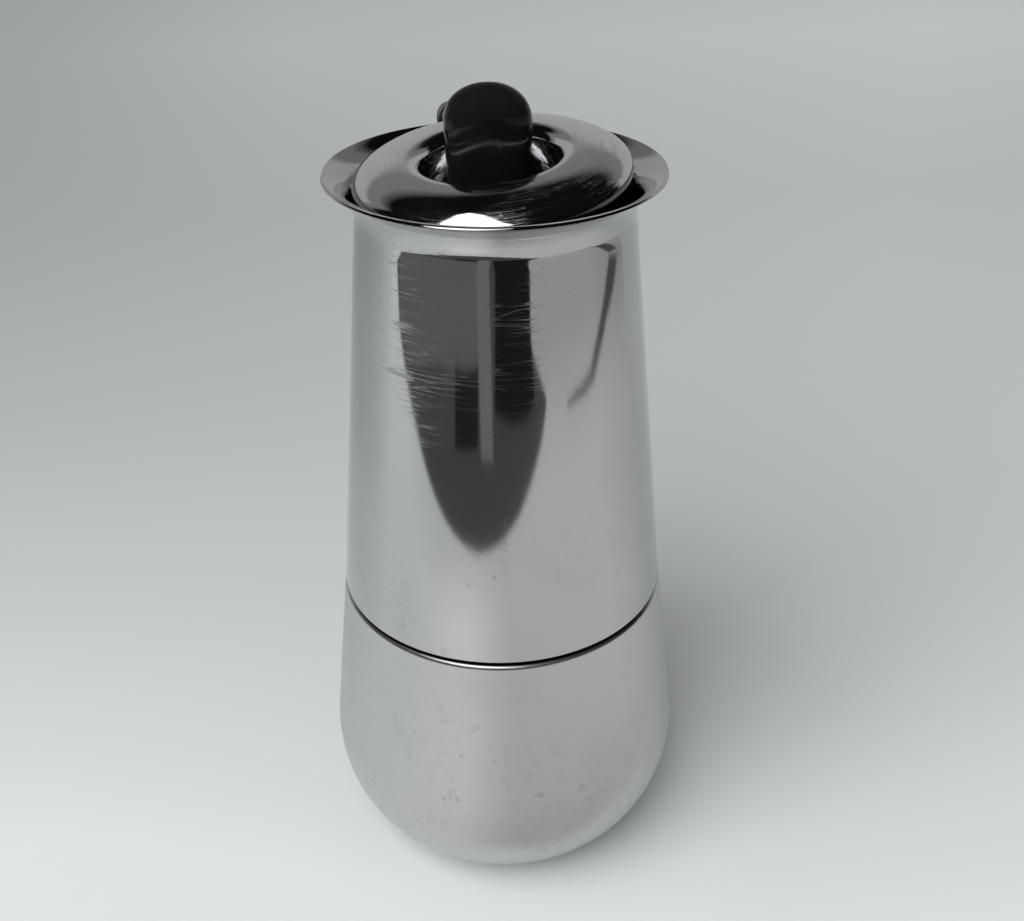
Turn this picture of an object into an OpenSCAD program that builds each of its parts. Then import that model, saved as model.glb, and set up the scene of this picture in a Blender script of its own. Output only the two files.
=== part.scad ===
// Stovetop moka pot in stainless steel: a round-bottomed boiler, a tall tapered
// collector with a flared mouth, and a dished lid hinged to a moulded handle.
// +Z is up, the handle points along +Y, and the origin is the centre of the base.

/* [Boiler] */
// Height of the boiler's shoulder above the table
boiler_h = 77.2; // [72:0.2:84]
// Largest radius of the boiler's belly
belly_r = 45.7; // [44:0.1:50]
// Height of the widest point of the belly
belly_z = 30; // [26:0.5:36]
// Radius of the flat base
base_r = 23; // [20:0.5:28]
// Wall of the boiler
boiler_wall = 1; // [0.8:0.1:1.4]
// Radius of the rolled edge at the shoulder
shoulder_edge_r = 1.2; // [0.8:0.1:1.8]
// How far the shoulder stands out past the collector's lower edge
shoulder_step = 0.3; // [0:0.1:0.8]

/* [Neck and thread] */
// Bore of the boiler's neck, as a radius
neck_bore_r = 32.2; // [31.6:0.1:32.8]
// Wall of the neck under the thread
neck_wall = 1.7; // [1.3:0.1:2]
// Height of the neck above the shoulder
neck_h = 12.8; // [11:0.2:15]
// How far the neck reaches down inside the boiler
neck_depth = 4; // [3:0.5:6]
// Pitch of the thread
thread_pitch = 2.4; // [2:0.2:3]
// Depth of the thread
thread_depth = 0.7; // [0.5:0.05:0.9]
// Number of thread ridges
thread_turns = 4; // [3:1:4]
// Play between the two threads, measured along the radius
thread_play = 0.35; // [0.3:0.05:0.5]

/* [Safety valve] */
// Height of the valve's axis
valve_z = 52; // [48:1:56]
// Angle of the valve, clockwise from the handle as seen from above
valve_angle = 50; // [40:5:80]
// Width across the flats of the valve body
valve_flats = 14; // [13:0.5:16]
// Length of the hexagon outside the boiler
valve_hex_l = 5.5; // [5:0.5:8]
// Radius of the valve's threaded shank
valve_shank_r = 4.9; // [4.6:0.1:5.4]
// How far the shank stands out of the nut inside the boiler
valve_shank_past = 0.5; // [0:0.25:1.5]
// Radius of the valve's bore
valve_bore_r = 3.2; // [3:0.1:3.5]
// Radius of the plunger's stem
valve_stem_r = 1.3; // [1.1:0.1:1.5]
// How far the stem stands out of the valve
valve_stem_out = 1.5; // [1:0.25:3]
// Travel of the plunger
valve_travel = 1; // [0.6:0.1:1.2]
// Radius of the spring wire
spring_wire_r = 0.3; // [0.25:0.05:0.35]
// Turns of the spring
spring_turns = 5; // [4:1:6]

/* [Funnel] */
// Depth of the coffee basket below its flange
basket_depth = 24; // [20:1:27]
// Sheet of the basket, its flange and its tube
basket_wall = 0.6; // [0.5:0.1:0.9]
// Height of the cone under the basket
funnel_cone_h = 11; // [9:1:14]
// Outer radius of the funnel's tube
stem_r = 4.5; // [4.1:0.1:5]
// Gap between the tube's end and the boiler's floor
stem_gap = 5; // [4:0.5:8]
// Radius of a hole in the basket's sieve
sieve_hole_r = 0.8; // [0.6:0.1:1]
// Spacing of the rings of holes in the sieve
sieve_ring = 4.6; // [4.4:0.1:5.2]

/* [Gasket and filter] */
// Thickness of the rubber gasket
gasket_h = 3.5; // [3:0.1:4.2]
// Inner radius of the gasket
gasket_bore_r = 27; // [26:0.25:28]
// Thickness of the filter plate
filter_t = 0.6; // [0.5:0.1:1]
// Height of the filter plate above the gasket's lower face
filter_rise = 0.8; // [0.4:0.1:1.5]
// Radius of a hole in the filter plate
filter_hole_r = 0.7; // [0.5:0.1:0.9]
// Spacing of the rings of holes in the filter plate
filter_ring = 4; // [3.8:0.1:4.6]

/* [Collector] */
// Radius of the collector at its lower edge
collector_r = 40; // [39.5:0.1:41]
// Radius of the collector at its neck, under the flare
throat_r = 30.6; // [30.2:0.1:31.4]
// Height from the lower edge to the neck
throat_h = 94; // [88:1:102]
// Height of the flared mouth
flare_h = 8.6; // [8:0.1:9.4]
// How far the flare spreads past the neck
flare_out = 6.2; // [5.8:0.1:6.6]
// Wall of the collector
collector_wall = 0.8; // [0.6:0.1:1]
// Open groove between the boiler and the collector
seam_gap = 0.8; // [0.6:0.1:1.2]
// Sheet of the chamber's floor
floor_t = 1; // [0.8:0.1:1.2]
// Radius at which the floor starts to rise to the column
floor_rise_r = 25; // [24:0.5:26]
// Height of the floor's cone
floor_cone_h = 12; // [10:1:16]

/* [Column] */
// Outer radius of the column at its foot
column_r = 6; // [5.5:0.1:6.5]
// Outer radius of the column at its top
column_top_r = 5.2; // [5:0.1:5.4]
// Wall of the column
column_wall = 0.8; // [0.6:0.1:1]
// Length of the column above the floor's collar
column_h = 42; // [34:1:46]
// Height of the column's cap
cap_h = 10; // [9:0.5:12]
// Width of the windows in the cap
cap_window_w = 5; // [4:0.5:6]

/* [Lid] */
// Outer radius of the lid's disc
lid_r = 30; // [29.6:0.1:30.1]
// Height of the disc's edge above the collector's neck
lid_lift = 8.2; // [8.1:0.1:8.6]
// Sheet of the disc
lid_t = 0.8; // [0.6:0.1:1]
// Height of the turned-down band at the edge
lid_band = 1; // [0.8:0.1:1.4]
// Radius of the raised ring around the well
crest_r = 17.8; // [17:0.1:19]
// Height of the raised ring above the edge
crest_h = 4.5; // [3.5:0.1:5.5]
// Radius of the rounded lip where the well begins
lip_r = 1.8; // [1.4:0.1:2.2]
// Depth of the well below the disc's edge
well_depth = 9; // [8.5:0.25:10]
// Radius of the well's floor
well_floor_r = 14; // [13:0.25:15]
// Forward droop of the lid, resting at the front of the flare
lid_pitch = 4.5; // [4:0.1:5]
// Sideways lean of the disc, which sits loose on its screw
disc_lean = 4.6; // [0:0.1:5]
// Sideways play taken up by the disc and the knob
disc_shift = 0.7; // [0:0.1:1]

/* [Knob] */
// Width of the knob
knob_w = 18.4; // [16:0.2:20]
// Thickness of the knob, front to back
knob_t = 12; // [10.5:0.5:14]
// Height of the knob's top above the rim of the flare
knob_top = 18.2; // [15:0.2:22]
// Radius that rounds the knob's upright edges
knob_edge_r = 4.6; // [4:0.1:5]
// Height of the arched top
knob_arch_h = 7.4; // [6:0.2:9]
// Thickness of the metal ferrule under the knob
ferrule_t = 1.2; // [0.8:0.1:1.8]
// Radius of the ferrule
ferrule_r = 6.5; // [6:0.1:7]
// Radius of the knob screw
screw_r = 2; // [1.8:0.1:2.2]

/* [Hinge] */
// Gap between the flare and the hinge's lugs
hinge_gap = 0.8; // [0.5:0.1:1.5]
// Radius of the lugs
lug_r = 4.2; // [4:0.1:4.6]
// Width over both lugs
lug_w = 21; // [20:0.5:23]
// Width of the lid's strap
strap_w = 10; // [9:0.5:11]
// Sheet of the strap
strap_t = 1; // [0.8:0.1:1.2]
// Radius of the hinge pin
pin_r = 1.25; // [1.1:0.05:1.4]
// Running play of the pin in the strap's knuckle
pin_play = 0.06; // [0.03:0.01:0.1]
// Side play of the knuckle between the lugs
knuckle_play = 0.4; // [0.3:0.1:0.6]

/* [Handle] */
// Width of the grip
grip_w = 20; // [19:0.5:23]
// Width of the grip at its lower end
grip_tip_w = 16; // [14:0.5:20]
// Thickness of the grip at its ends
grip_t = 11; // [10:0.5:12]
// Thickness of the grip in its middle
grip_swell = 13; // [12:0.5:15]
// Radius of the upper bend, along the middle of the grip
bend_r = 20; // [18:0.5:24]
// Radius of the long back curve
back_r = 110; // [90:5:160]
// Angle of the long back curve
back_angle = 22; // [16:1:25]
// Radius of the outward curl at the lower end
curl_r = 34; // [28:1:50]
// Angle of the outward curl
curl_angle = 28; // [15:1:35]
// Width of the bracket
bracket_w = 12; // [11:0.5:14]
// Sheet of the bracket
bracket_t = 2; // [1.6:0.1:2.4]
// Height of the bracket's welded foot
bracket_foot_h = 15; // [12:0.5:18]
// Reach of the bracket's tongue behind the hinge
tongue_reach = 12; // [11:0.5:13]
// Reach of the handle screw behind the hinge
screw_reach = 7; // [6.5:0.5:7.5]
// Clearance of the bracket's tongue in the grip
tongue_play = 0.3; // [0.2:0.05:0.5]

/* [Hidden] */

round_fn = 96;
small_fn = 48;
hull_fn = 32;
touch = 0.01;          // how far a cut runs past the face that it opens
seat_gap = 0.3;        // gap between loose pieces that rest on each other

seam_z = boiler_h + seam_gap;
shoulder_r = collector_r + shoulder_step;
neck_r = neck_bore_r + neck_wall;
crest_thread_r = neck_r + thread_depth;
neck_top = boiler_h + neck_h;
throat_z = seam_z + throat_h;
rim_z = throat_z + flare_h;
rim_r = throat_r + flare_out;
taper = (collector_r - throat_r) / throat_h;
flare_curve_r = (flare_out * flare_out + flare_h * flare_h) / (2 * flare_out);
flare_end = asin(flare_h / flare_curve_r);
flare_steps = 14;
bowl_steps = 18;
bend_rings = 8;
back_rings = 6;
curl_rings = 4;
grip_sides = 24;
grip_square = 2.5;     // 2 is an ellipse, and more is squarer

basket_r = neck_bore_r - 0.4;
basket_flange_r = neck_r - 0.2;
flange_top = neck_top + basket_wall;
basket_floor_z = neck_top - basket_depth;
stem_top = basket_floor_z - funnel_cone_h;
stem_bottom = boiler_wall + stem_gap;
gasket_top = flange_top + gasket_h;
gasket_r = crest_thread_r - 0.2;
ring_bore_r = crest_thread_r + thread_play;
ring_wall = 1.5;
collar_h = 4;
thread_start = 2;       // height of the first ridge above the shoulder
collar_z = gasket_top + floor_t + floor_cone_h;
column_foot = collar_z - 1;
column_top = collar_z + column_h;
cap_foot = column_top - cap_h * 0.4;
dome_steps = 8;

function outer_r(z) = collector_r - taper * (z - seam_z);
function inner_r(z) = outer_r(z) - collector_wall * sqrt(1 + taper * taper);

// Outward normal's opposite at point i of a path, and the path moved along it by t
function side(p, i) =
  let (d = p[min(i + 1, len(p) - 1)] - p[max(i - 1, 0)])
  [d.y, -d.x] / norm(d);
function moved(p, t) = [for (i = [0 : len(p) - 1]) p[i] + t * side(p, i)];
function backwards(p) = [for (i = [len(p) - 1 : -1 : 0]) p[i]];
function arc(c, r, a0, a1, n) = [for (i = [0 : n]) c + r * [cos(a0 + (a1 - a0) * i / n), sin(a0 + (a1 - a0) * i / n)]];

// A turned sheet: the path is its outer face, and t its thickness
module turned_sheet(path, t) {
  rotate_extrude($fn = round_fn) polygon(concat(path, backwards(moved(path, t))));
}

// A ring of holes for every step of the radius
module hole_rings(step, last_r, hole_r, h) {
  cylinder(r = hole_r, h = h, $fn = 16);
  for (ring = [1 : floor((last_r - hole_r) / step)])
    for (i = [0 : 6 * ring - 1])
      rotate([0, 0, 60 * i / ring]) translate([ring * step, 0, 0]) cylinder(r = hole_r, h = h, $fn = 16);
}

// Boiler

// Angle on the bowl's ellipse where the straight side meets it without a corner
bowl_a = belly_r - base_r;
bowl_b = belly_z;
function meet(n) = n == 0 ? 8 : let (q = meet(n - 1))
  atan(bowl_b / bowl_a * (base_r + bowl_a * cos(q) - shoulder_r)
    / (boiler_h - shoulder_edge_r - belly_z - bowl_b * sin(q)));
bowl_start = meet(6);

function boiler_path() = concat(
  [[crest_thread_r, boiler_h]],
  arc([shoulder_r - shoulder_edge_r, boiler_h - shoulder_edge_r], shoulder_edge_r, 90, 0, 4),
  [for (i = [0 : bowl_steps])
    let (q = bowl_start - (bowl_start + 90) * i / bowl_steps)
    [base_r + bowl_a * cos(q), belly_z + bowl_b * sin(q)]],
  [[0, 0]]);

function wall_r_at(z) = base_r + bowl_a * cos(bowl_start)
  - (base_r + bowl_a * cos(bowl_start) - shoulder_r) * (z - belly_z - bowl_b * sin(bowl_start))
  / (boiler_h - shoulder_edge_r - belly_z - bowl_b * sin(bowl_start));

valve_pad_r = valve_flats * 0.62;
valve_face = wall_r_at(valve_z - valve_pad_r) + 0.2;
valve_inner = wall_r_at(valve_z) - 2 * boiler_wall - 2;
valve_washer_t = 1;
valve_nut_t = 3;

module at_valve() {
  rotate([0, 0, 90 - valve_angle]) translate([valve_face, 0, valve_z]) rotate([0, 90, 0]) children();
}

module boiler_shell() {
  color("silver") difference() {
    union() {
      turned_sheet(boiler_path(), boiler_wall);
      at_valve() translate([0, 0, valve_inner - valve_face]) cylinder(r = valve_pad_r, h = valve_face - valve_inner, $fn = small_fn);
    }
    at_valve() translate([0, 0, -valve_face]) cylinder(r = valve_shank_r, h = valve_face + touch, $fn = small_fn);
    at_valve() translate([0, 0, valve_inner - valve_face - valve_nut_t]) cylinder(r = valve_pad_r + 1, h = valve_nut_t, $fn = small_fn);
  }
}

// Ridges of a thread up a wall of radius r, standing out towards +1 or -1
function thread_side(r, z0, dir) = [for (i = [0 : thread_turns - 1])
  let (z = z0 + i * thread_pitch, crest = r + dir * thread_depth)
  each [[r, z], [crest, z + thread_pitch * 0.35], [crest, z + thread_pitch * 0.5], [r, z + thread_pitch * 0.85]]];

module boiler_neck() {
  color("silver") rotate_extrude($fn = round_fn) polygon(concat(
    [[neck_bore_r, boiler_h - neck_depth], [crest_thread_r, boiler_h - neck_depth],
      [crest_thread_r, boiler_h], [neck_r, boiler_h]],
    thread_side(neck_r, boiler_h + thread_start, 1),
    [[neck_r, neck_top], [neck_bore_r, neck_top]]));
}

// Safety valve: lengths run outwards from the face of the pad on the boiler
valve_hex_end = valve_washer_t + valve_hex_l;
valve_shank_end = valve_inner - valve_face - valve_nut_t - valve_shank_past;
valve_seat_t = 1;
valve_seat_r = 2;
valve_plug_r = valve_bore_r - 0.3;
valve_plug_t = 1.4;
valve_shoulder = valve_hex_end - 1.6;
valve_plug_z = valve_shank_end + valve_seat_t;

module valve_body() {
  color("goldenrod") at_valve() difference() {
    union() {
      translate([0, 0, valve_washer_t]) cylinder(d = valve_flats / cos(30), h = valve_hex_l, $fn = 6);
      translate([0, 0, valve_shank_end]) cylinder(r = valve_shank_r, h = valve_washer_t - valve_shank_end, $fn = small_fn);
    }
    translate([0, 0, valve_shank_end - touch])
      cylinder(r = valve_seat_r, h = valve_seat_t + 2 * touch, $fn = small_fn);
    translate([0, 0, valve_plug_z])
      cylinder(r = valve_bore_r, h = valve_shoulder - valve_plug_z, $fn = small_fn);
    translate([0, 0, valve_shoulder - touch])
      cylinder(r = valve_stem_r + 0.1, h = valve_hex_end - valve_shoulder + 2 * touch, $fn = small_fn);
  }
}

module valve_washer() {
  color("firebrick") at_valve() difference() {
    cylinder(r = valve_pad_r - 0.4, h = valve_washer_t, $fn = small_fn);
    translate([0, 0, -touch]) cylinder(r = valve_shank_r, h = valve_washer_t + 2 * touch, $fn = small_fn);
  }
}

module valve_nut() {
  color("goldenrod") at_valve() translate([0, 0, valve_inner - valve_face - valve_nut_t]) difference() {
    cylinder(d = (valve_flats - 1) / cos(30), h = valve_nut_t, $fn = 6);
    translate([0, 0, -touch]) cylinder(r = valve_shank_r, h = valve_nut_t + 2 * touch, $fn = small_fn);
  }
}

module valve_stem() {
  color("lightgray") at_valve() {
    translate([0, 0, valve_plug_z]) cylinder(r = valve_plug_r, h = valve_plug_t, $fn = small_fn);
    translate([0, 0, valve_plug_z])
      cylinder(r = valve_stem_r, h = valve_hex_end + valve_stem_out - valve_plug_z, $fn = small_fn);
  }
}

// Compression spring, drawn at its pressed length and seated on the valve's outer shoulder
spring_mean_r = (valve_bore_r + valve_stem_r) / 2;
spring_z0 = valve_plug_z + valve_plug_t + valve_travel + seat_gap + spring_wire_r;
spring_z1 = valve_shoulder - spring_wire_r * sin(60);
spring_sides = 6;
spring_rings = spring_turns * 12;

function coil_point(i) = let (t = i / spring_rings)
  [spring_mean_r * cos(360 * spring_turns * t), spring_mean_r * sin(360 * spring_turns * t),
    spring_z0 + (spring_z1 - spring_z0) * t];
function coil_ring(i) = let (c = coil_point(i), a = 360 * spring_turns * i / spring_rings)
  [for (k = [0 : spring_sides - 1])
    let (b = 360 * k / spring_sides)
    c + spring_wire_r * [cos(b) * cos(a), cos(b) * sin(a), sin(b)]];

module valve_spring() {
  points = [for (i = [0 : spring_rings]) each coil_ring(i)];
  sides = [for (i = [0 : spring_rings - 1], k = [0 : spring_sides - 1])
    let (a = i * spring_sides + k, b = i * spring_sides + (k + 1) % spring_sides)
    [a, b, b + spring_sides, a + spring_sides]];
  first = [for (k = [spring_sides - 1 : -1 : 0]) k];
  last = [for (k = [0 : spring_sides - 1]) spring_rings * spring_sides + k];
  color("gray") at_valve() polyhedron(points = points, faces = concat(sides, [first, last]), convexity = 10);
}

// Funnel
module funnel_basket() {
  color("silver") rotate_extrude($fn = round_fn) polygon([
    [basket_flange_r, flange_top], [basket_r - basket_wall, flange_top],
    [basket_r - basket_wall, basket_floor_z], [stem_r, stem_top + basket_wall], [stem_r, stem_top],
    [basket_r, basket_floor_z], [basket_r, neck_top], [basket_flange_r, neck_top]]);
}

module basket_sieve() {
  sieve_r = basket_r - basket_wall;
  color("lightgray") translate([0, 0, basket_floor_z]) difference() {
    cylinder(r = sieve_r, h = basket_wall, $fn = round_fn);
    translate([0, 0, -touch]) hole_rings(sieve_ring, sieve_r - 2, sieve_hole_r, basket_wall + 2 * touch);
  }
}

module funnel_stem() {
  color("silver") translate([0, 0, stem_bottom]) difference() {
    cylinder(r = stem_r, h = stem_top + basket_wall - stem_bottom, $fn = small_fn);
    translate([0, 0, -touch])
      cylinder(r = stem_r - 2 * basket_wall, h = stem_top + basket_wall - stem_bottom + 2 * touch, $fn = small_fn);
  }
}

// Gasket and filter plate
module gasket() {
  color("whitesmoke") translate([0, 0, flange_top]) difference() {
    cylinder(r = gasket_r, h = gasket_h, $fn = round_fn);
    translate([0, 0, -touch]) cylinder(r = gasket_bore_r, h = gasket_h + 2 * touch, $fn = round_fn);
  }
}

module filter_plate() {
  color("lightgray") translate([0, 0, flange_top + filter_rise]) difference() {
    cylinder(r = gasket_bore_r, h = filter_t, $fn = round_fn);
    translate([0, 0, -touch]) hole_rings(filter_ring, gasket_bore_r - 3, filter_hole_r, filter_t + 2 * touch);
  }
}

// Collector
function flare_path() = [for (i = [0 : flare_steps])
  let (q = flare_end * (1 - i / flare_steps))
  [throat_r + flare_curve_r * (1 - cos(q)), throat_z + flare_curve_r * sin(q)]];

module collector_shell() {
  color("silver") turned_sheet(concat(flare_path(), [[collector_r, seam_z]]), collector_wall);
}

module thread_ring() {
  flange_z = gasket_top - floor_t;
  wall_r = ring_bore_r + thread_depth;
  color("silver") rotate_extrude($fn = round_fn) polygon(concat(
    [[wall_r, seam_z]], thread_side(wall_r, seam_z + thread_start / 3, -1),
    [[wall_r, flange_z - gasket_h], [ring_bore_r, flange_z - gasket_h], [ring_bore_r, gasket_top],
      [inner_r(gasket_top), gasket_top], [inner_r(flange_z), flange_z],
      [wall_r + ring_wall, flange_z], [wall_r + ring_wall, seam_z]]));
}

module collector_floor() {
  color("silver") rotate_extrude($fn = round_fn) polygon([
    [inner_r(gasket_top + floor_t), gasket_top + floor_t], [floor_rise_r, gasket_top + floor_t],
    [column_r + floor_t, collar_z], [column_r + floor_t, collar_z + collar_h],
    [column_r, collar_z + collar_h], [column_r, collar_z - floor_t],
    [floor_rise_r - floor_t, gasket_top], [inner_r(gasket_top), gasket_top]]);
}

// Column
module column() {
  color("silver") rotate_extrude($fn = small_fn) polygon([
    [column_r - column_wall, column_foot], [column_r, column_foot], [column_r, collar_z + collar_h],
    [column_top_r, cap_foot], [column_top_r, column_top],
    [column_top_r - column_wall, column_top], [column_top_r - column_wall, cap_foot]]);
}

module column_cap() {
  cap_r = column_top_r + column_wall;
  dome_z = column_top + cap_h - cap_r;
  window_z = column_top + cap_h / 12;
  color("silver") difference() {
    rotate_extrude($fn = small_fn) polygon(concat(
      arc([0, dome_z], cap_r, 90, 0, dome_steps), [[cap_r, cap_foot], [column_top_r, cap_foot]],
      arc([0, dome_z], column_top_r, 0, 90, dome_steps)));
    translate([-2 * cap_r, -cap_window_w / 2, window_z]) cube([4 * cap_r, cap_window_w, dome_z - window_z]);
  }
}

// Handle
hinge_y = rim_r + 0.4 + hinge_gap + lug_r;
hinge_z = rim_z - 0.1;
knuckle_r = pin_r + strap_t + 0.25;
bend_y = hinge_y + 1;
bend_z = hinge_z - 5 - bend_r;
tongue_z = bend_z + bend_r - 3;
tongue_end = hinge_y + tongue_reach;
foot_z = tongue_z - bracket_foot_h + bracket_t;
screw_y = hinge_y + screw_reach;
head_z = bend_z + bend_r - grip_t / 2 + 1.6;
head_h = 1.4 * screw_r;
slot_w = strap_w + 2 * knuckle_play;

// Middle line of the grip: straight back from the root, round the bend, down the long back
// curve and out along the curl. Each entry is [y, z, direction of travel in degrees].
root_y = hinge_y - lug_r + 1.5;
back_y = bend_y + bend_r - back_r;
curl_y = back_y + (back_r + curl_r) * cos(back_angle);
curl_z = bend_z - (back_r + curl_r) * sin(back_angle);
spine = concat(
  [[root_y, bend_z + bend_r, 0]],
  [for (i = [0 : bend_rings]) let (q = 90 * i / bend_rings)
    [bend_y + bend_r * sin(q), bend_z + bend_r * cos(q), -q]],
  [for (i = [1 : back_rings]) let (q = back_angle * i / back_rings)
    [back_y + back_r * cos(q), bend_z - back_r * sin(q), -90 - q]],
  [for (i = [1 : curl_rings]) let (q = curl_angle * i / curl_rings - back_angle)
    [curl_y - curl_r * cos(q), curl_z - curl_r * sin(q), -90 + q]]);
tip = spine[len(spine) - 1];

// One ring of the grip: a rounded oblong of half width w and half thickness t
function grip_ring(p, w, t) = [for (k = [0 : grip_sides - 1])
  let (a = 360 * k / grip_sides, e = 2 / grip_square,
    x = w * sign(cos(a)) * pow(abs(cos(a)), e), n = t * sign(sin(a)) * pow(abs(sin(a)), e))
  [x, p[0] - n * sin(p[2]), p[1] + n * cos(p[2])]];
function along(i) = i / (len(spine) - 1);
function ring_w(u) = (grip_w + (grip_tip_w - grip_w) * u) / 2;
function ring_t(u) = (grip_t + (grip_swell - grip_t) * pow(sin(180 * u), 2)) / 2;
grip_rings = concat(
  [for (i = [0 : len(spine) - 1]) grip_ring(spine[i], ring_w(along(i)), ring_t(along(i)))],
  [for (q = [25, 45, 62, 76, 86]) let (reach = grip_t / 2 * sin(q))
    grip_ring([tip[0] + reach * cos(tip[2]), tip[1] + reach * sin(tip[2]), tip[2]],
      ring_w(1) - ring_t(1) * (1 - cos(q)), ring_t(1) * cos(q))]);

module grip_sweep() {
  n = len(grip_rings);
  sides = [for (i = [0 : n - 2], k = [0 : grip_sides - 1])
    let (a = i * grip_sides + k, b = i * grip_sides + (k + 1) % grip_sides)
    each [[a, b, a + grip_sides], [b, b + grip_sides, a + grip_sides]]];
  first = [for (k = [grip_sides - 1 : -1 : 0]) k];
  last = [for (k = [0 : grip_sides - 1]) (n - 1) * grip_sides + k];
  polyhedron(points = [for (ring = grip_rings) each ring], faces = concat(sides, [first, last]), convexity = 6);
}

// Root of the handle with the hinge lugs on top, rounded from the side and from behind
module hinge_root() {
  low_z = bend_z + bend_r - grip_t / 2;
  top_z = hinge_z + lug_r;
  intersection() {
    translate([-lug_w / 2, 0, 0]) rotate([90, 0, 90]) linear_extrude(lug_w) {
      translate([hinge_y - lug_r, low_z + lug_r]) square([2 * lug_r, hinge_z - low_z - lug_r]);
      for (z = [low_z + lug_r, hinge_z]) translate([hinge_y, z]) circle(r = lug_r, $fn = small_fn);
    }
    translate([0, hinge_y + 2 * lug_r, 0]) rotate([90, 0, 0]) linear_extrude(4 * lug_r) {
      translate([-lug_w / 2, low_z + lug_r]) square([lug_w, top_z - low_z - 2 * lug_r]);
      translate([-lug_w / 2 + lug_r, low_z]) square([lug_w - 2 * lug_r, top_z - low_z]);
      for (x = [-1, 1], z = [low_z + lug_r, top_z - lug_r])
        translate([x * (lug_w / 2 - lug_r), z]) circle(r = lug_r, $fn = small_fn);
    }
  }
}

module handle_grip() {
  tongue_w = bracket_w + 2 * tongue_play;
  color("#151516") difference() {
    union() {
      grip_sweep();
      hinge_root();
    }
    translate([-slot_w / 2, hinge_y - 2 * lug_r, hinge_z - knuckle_r - 0.6])
      cube([slot_w, 2 * lug_r + knuckle_r + 2, 3 * lug_r]);
    translate([-lug_w, hinge_y, hinge_z]) rotate([0, 90, 0]) cylinder(r = pin_r, h = 2 * lug_w, $fn = small_fn);
    translate([-tongue_w / 2, 0, tongue_z]) cube([tongue_w, tongue_end + tongue_play, bracket_t + tongue_play]);
    translate([0, screw_y, 0]) cylinder(r = screw_r, h = tongue_z, $fn = small_fn);
    translate([0, screw_y, 0]) cylinder(r = 1.8 * screw_r + 0.2, h = head_z, $fn = small_fn);
  }
}

module handle_bracket() {
  color("silver") difference() {
    union() {
      translate([-bracket_w / 2, 0, tongue_z]) cube([bracket_w, tongue_end, bracket_t]);
      translate([-bracket_w / 2, 0, foot_z])
        cube([bracket_w, outer_r(foot_z) + bracket_t, bracket_foot_h]);
    }
    rotate_extrude($fn = round_fn)
      polygon(concat([[0, rim_z]], flare_path(), [[outer_r(foot_z - 1), foot_z - 1], [0, foot_z - 1]]));
    translate([0, screw_y, tongue_z - 1]) cylinder(r = screw_r, h = bracket_t + 2, $fn = small_fn);
  }
}

module handle_screw() {
  color("lightgray") translate([0, screw_y, 0]) difference() {
    union() {
      translate([0, 0, head_z - head_h]) cylinder(r = 1.8 * screw_r, h = head_h, $fn = small_fn);
      translate([0, 0, head_z - touch]) cylinder(r = screw_r, h = tongue_z + bracket_t - head_z + touch, $fn = small_fn);
    }
    translate([-2 * screw_r, -0.4, head_z - head_h - touch]) cube([4 * screw_r, 0.8, 1]);
  }
}

module hinge_pin() {
  pin_l = lug_w - 1.4;
  color("silver") translate([-pin_l / 2, hinge_y, hinge_z]) rotate([0, 90, 0])
    cylinder(r = pin_r, h = pin_l, $fn = small_fn);
}

// Lid: the disc, seen in its own frame with its edge at z = 0
lid_z = throat_z + lid_lift;

function lid_path() = concat(
  [[lid_r, -lid_band]],
  [for (i = [0 : 12]) let (q = 90 * i / 12)
    [crest_r + (lid_r - crest_r) * cos(q), crest_h * sin(q)]],
  [for (i = [1 : 5]) let (q = 80 * i / 5)
    [crest_r - lip_r * sin(q), crest_h - 1.4 * lip_r * (1 - cos(q))]],
  arc([well_floor_r - 0.5, -well_depth + 2.5], 2.5, 0, -90, 4),
  [[screw_r + disc_play, -well_depth]]);

disc_play = 1.5;       // the disc sits loose on its screw

module in_lid_frame() {
  translate([-disc_shift, 0, lid_z]) rotate([lid_pitch, -disc_lean, 0]) children();
}

module lid_disc() {
  color("gainsboro") in_lid_frame()
    rotate_extrude($fn = round_fn) polygon(concat(lid_path(), backwards(moved(lid_path(), -lid_t))));
}

// Strap from the hinge, over the rim and under the disc to the knob screw
under_floor = lid_z - well_depth - lid_t - 0.75;
strap_over = rim_z + 1.3;
strap_flat_y = well_floor_r + 2;

module lid_strap() {
  path = [[-ferrule_r, under_floor - strap_t - ferrule_r * tan(lid_pitch)],
    [strap_flat_y, under_floor - strap_t + strap_flat_y * tan(lid_pitch)],
    [rim_r - 1.4, strap_over], [hinge_y, strap_over]];
  color("silver") translate([-strap_w / 2, 0, 0]) difference() {
    rotate([90, 0, 90]) linear_extrude(strap_w) difference() {
      union() {
        polygon(concat(path, backwards(moved(path, -strap_t))));
        translate([hinge_y, hinge_z]) circle(r = knuckle_r, $fn = small_fn);
      }
      translate([hinge_y, hinge_z]) circle(r = pin_r + pin_play, $fn = small_fn);
    }
    translate([strap_w / 2 - disc_shift, 0, under_floor - 3]) cylinder(r = screw_r + seat_gap, h = 6, $fn = small_fn);
  }
}

// Knob
lid_up = cos(lid_pitch) * cos(disc_lean);
knob_z0 = lid_z - (well_depth - ferrule_r * sqrt(1 - lid_up * lid_up)) / lid_up + ferrule_t + touch;
knob_z1 = rim_z + knob_top;
insert_l = 12;
insert_r = 3.2;

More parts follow.
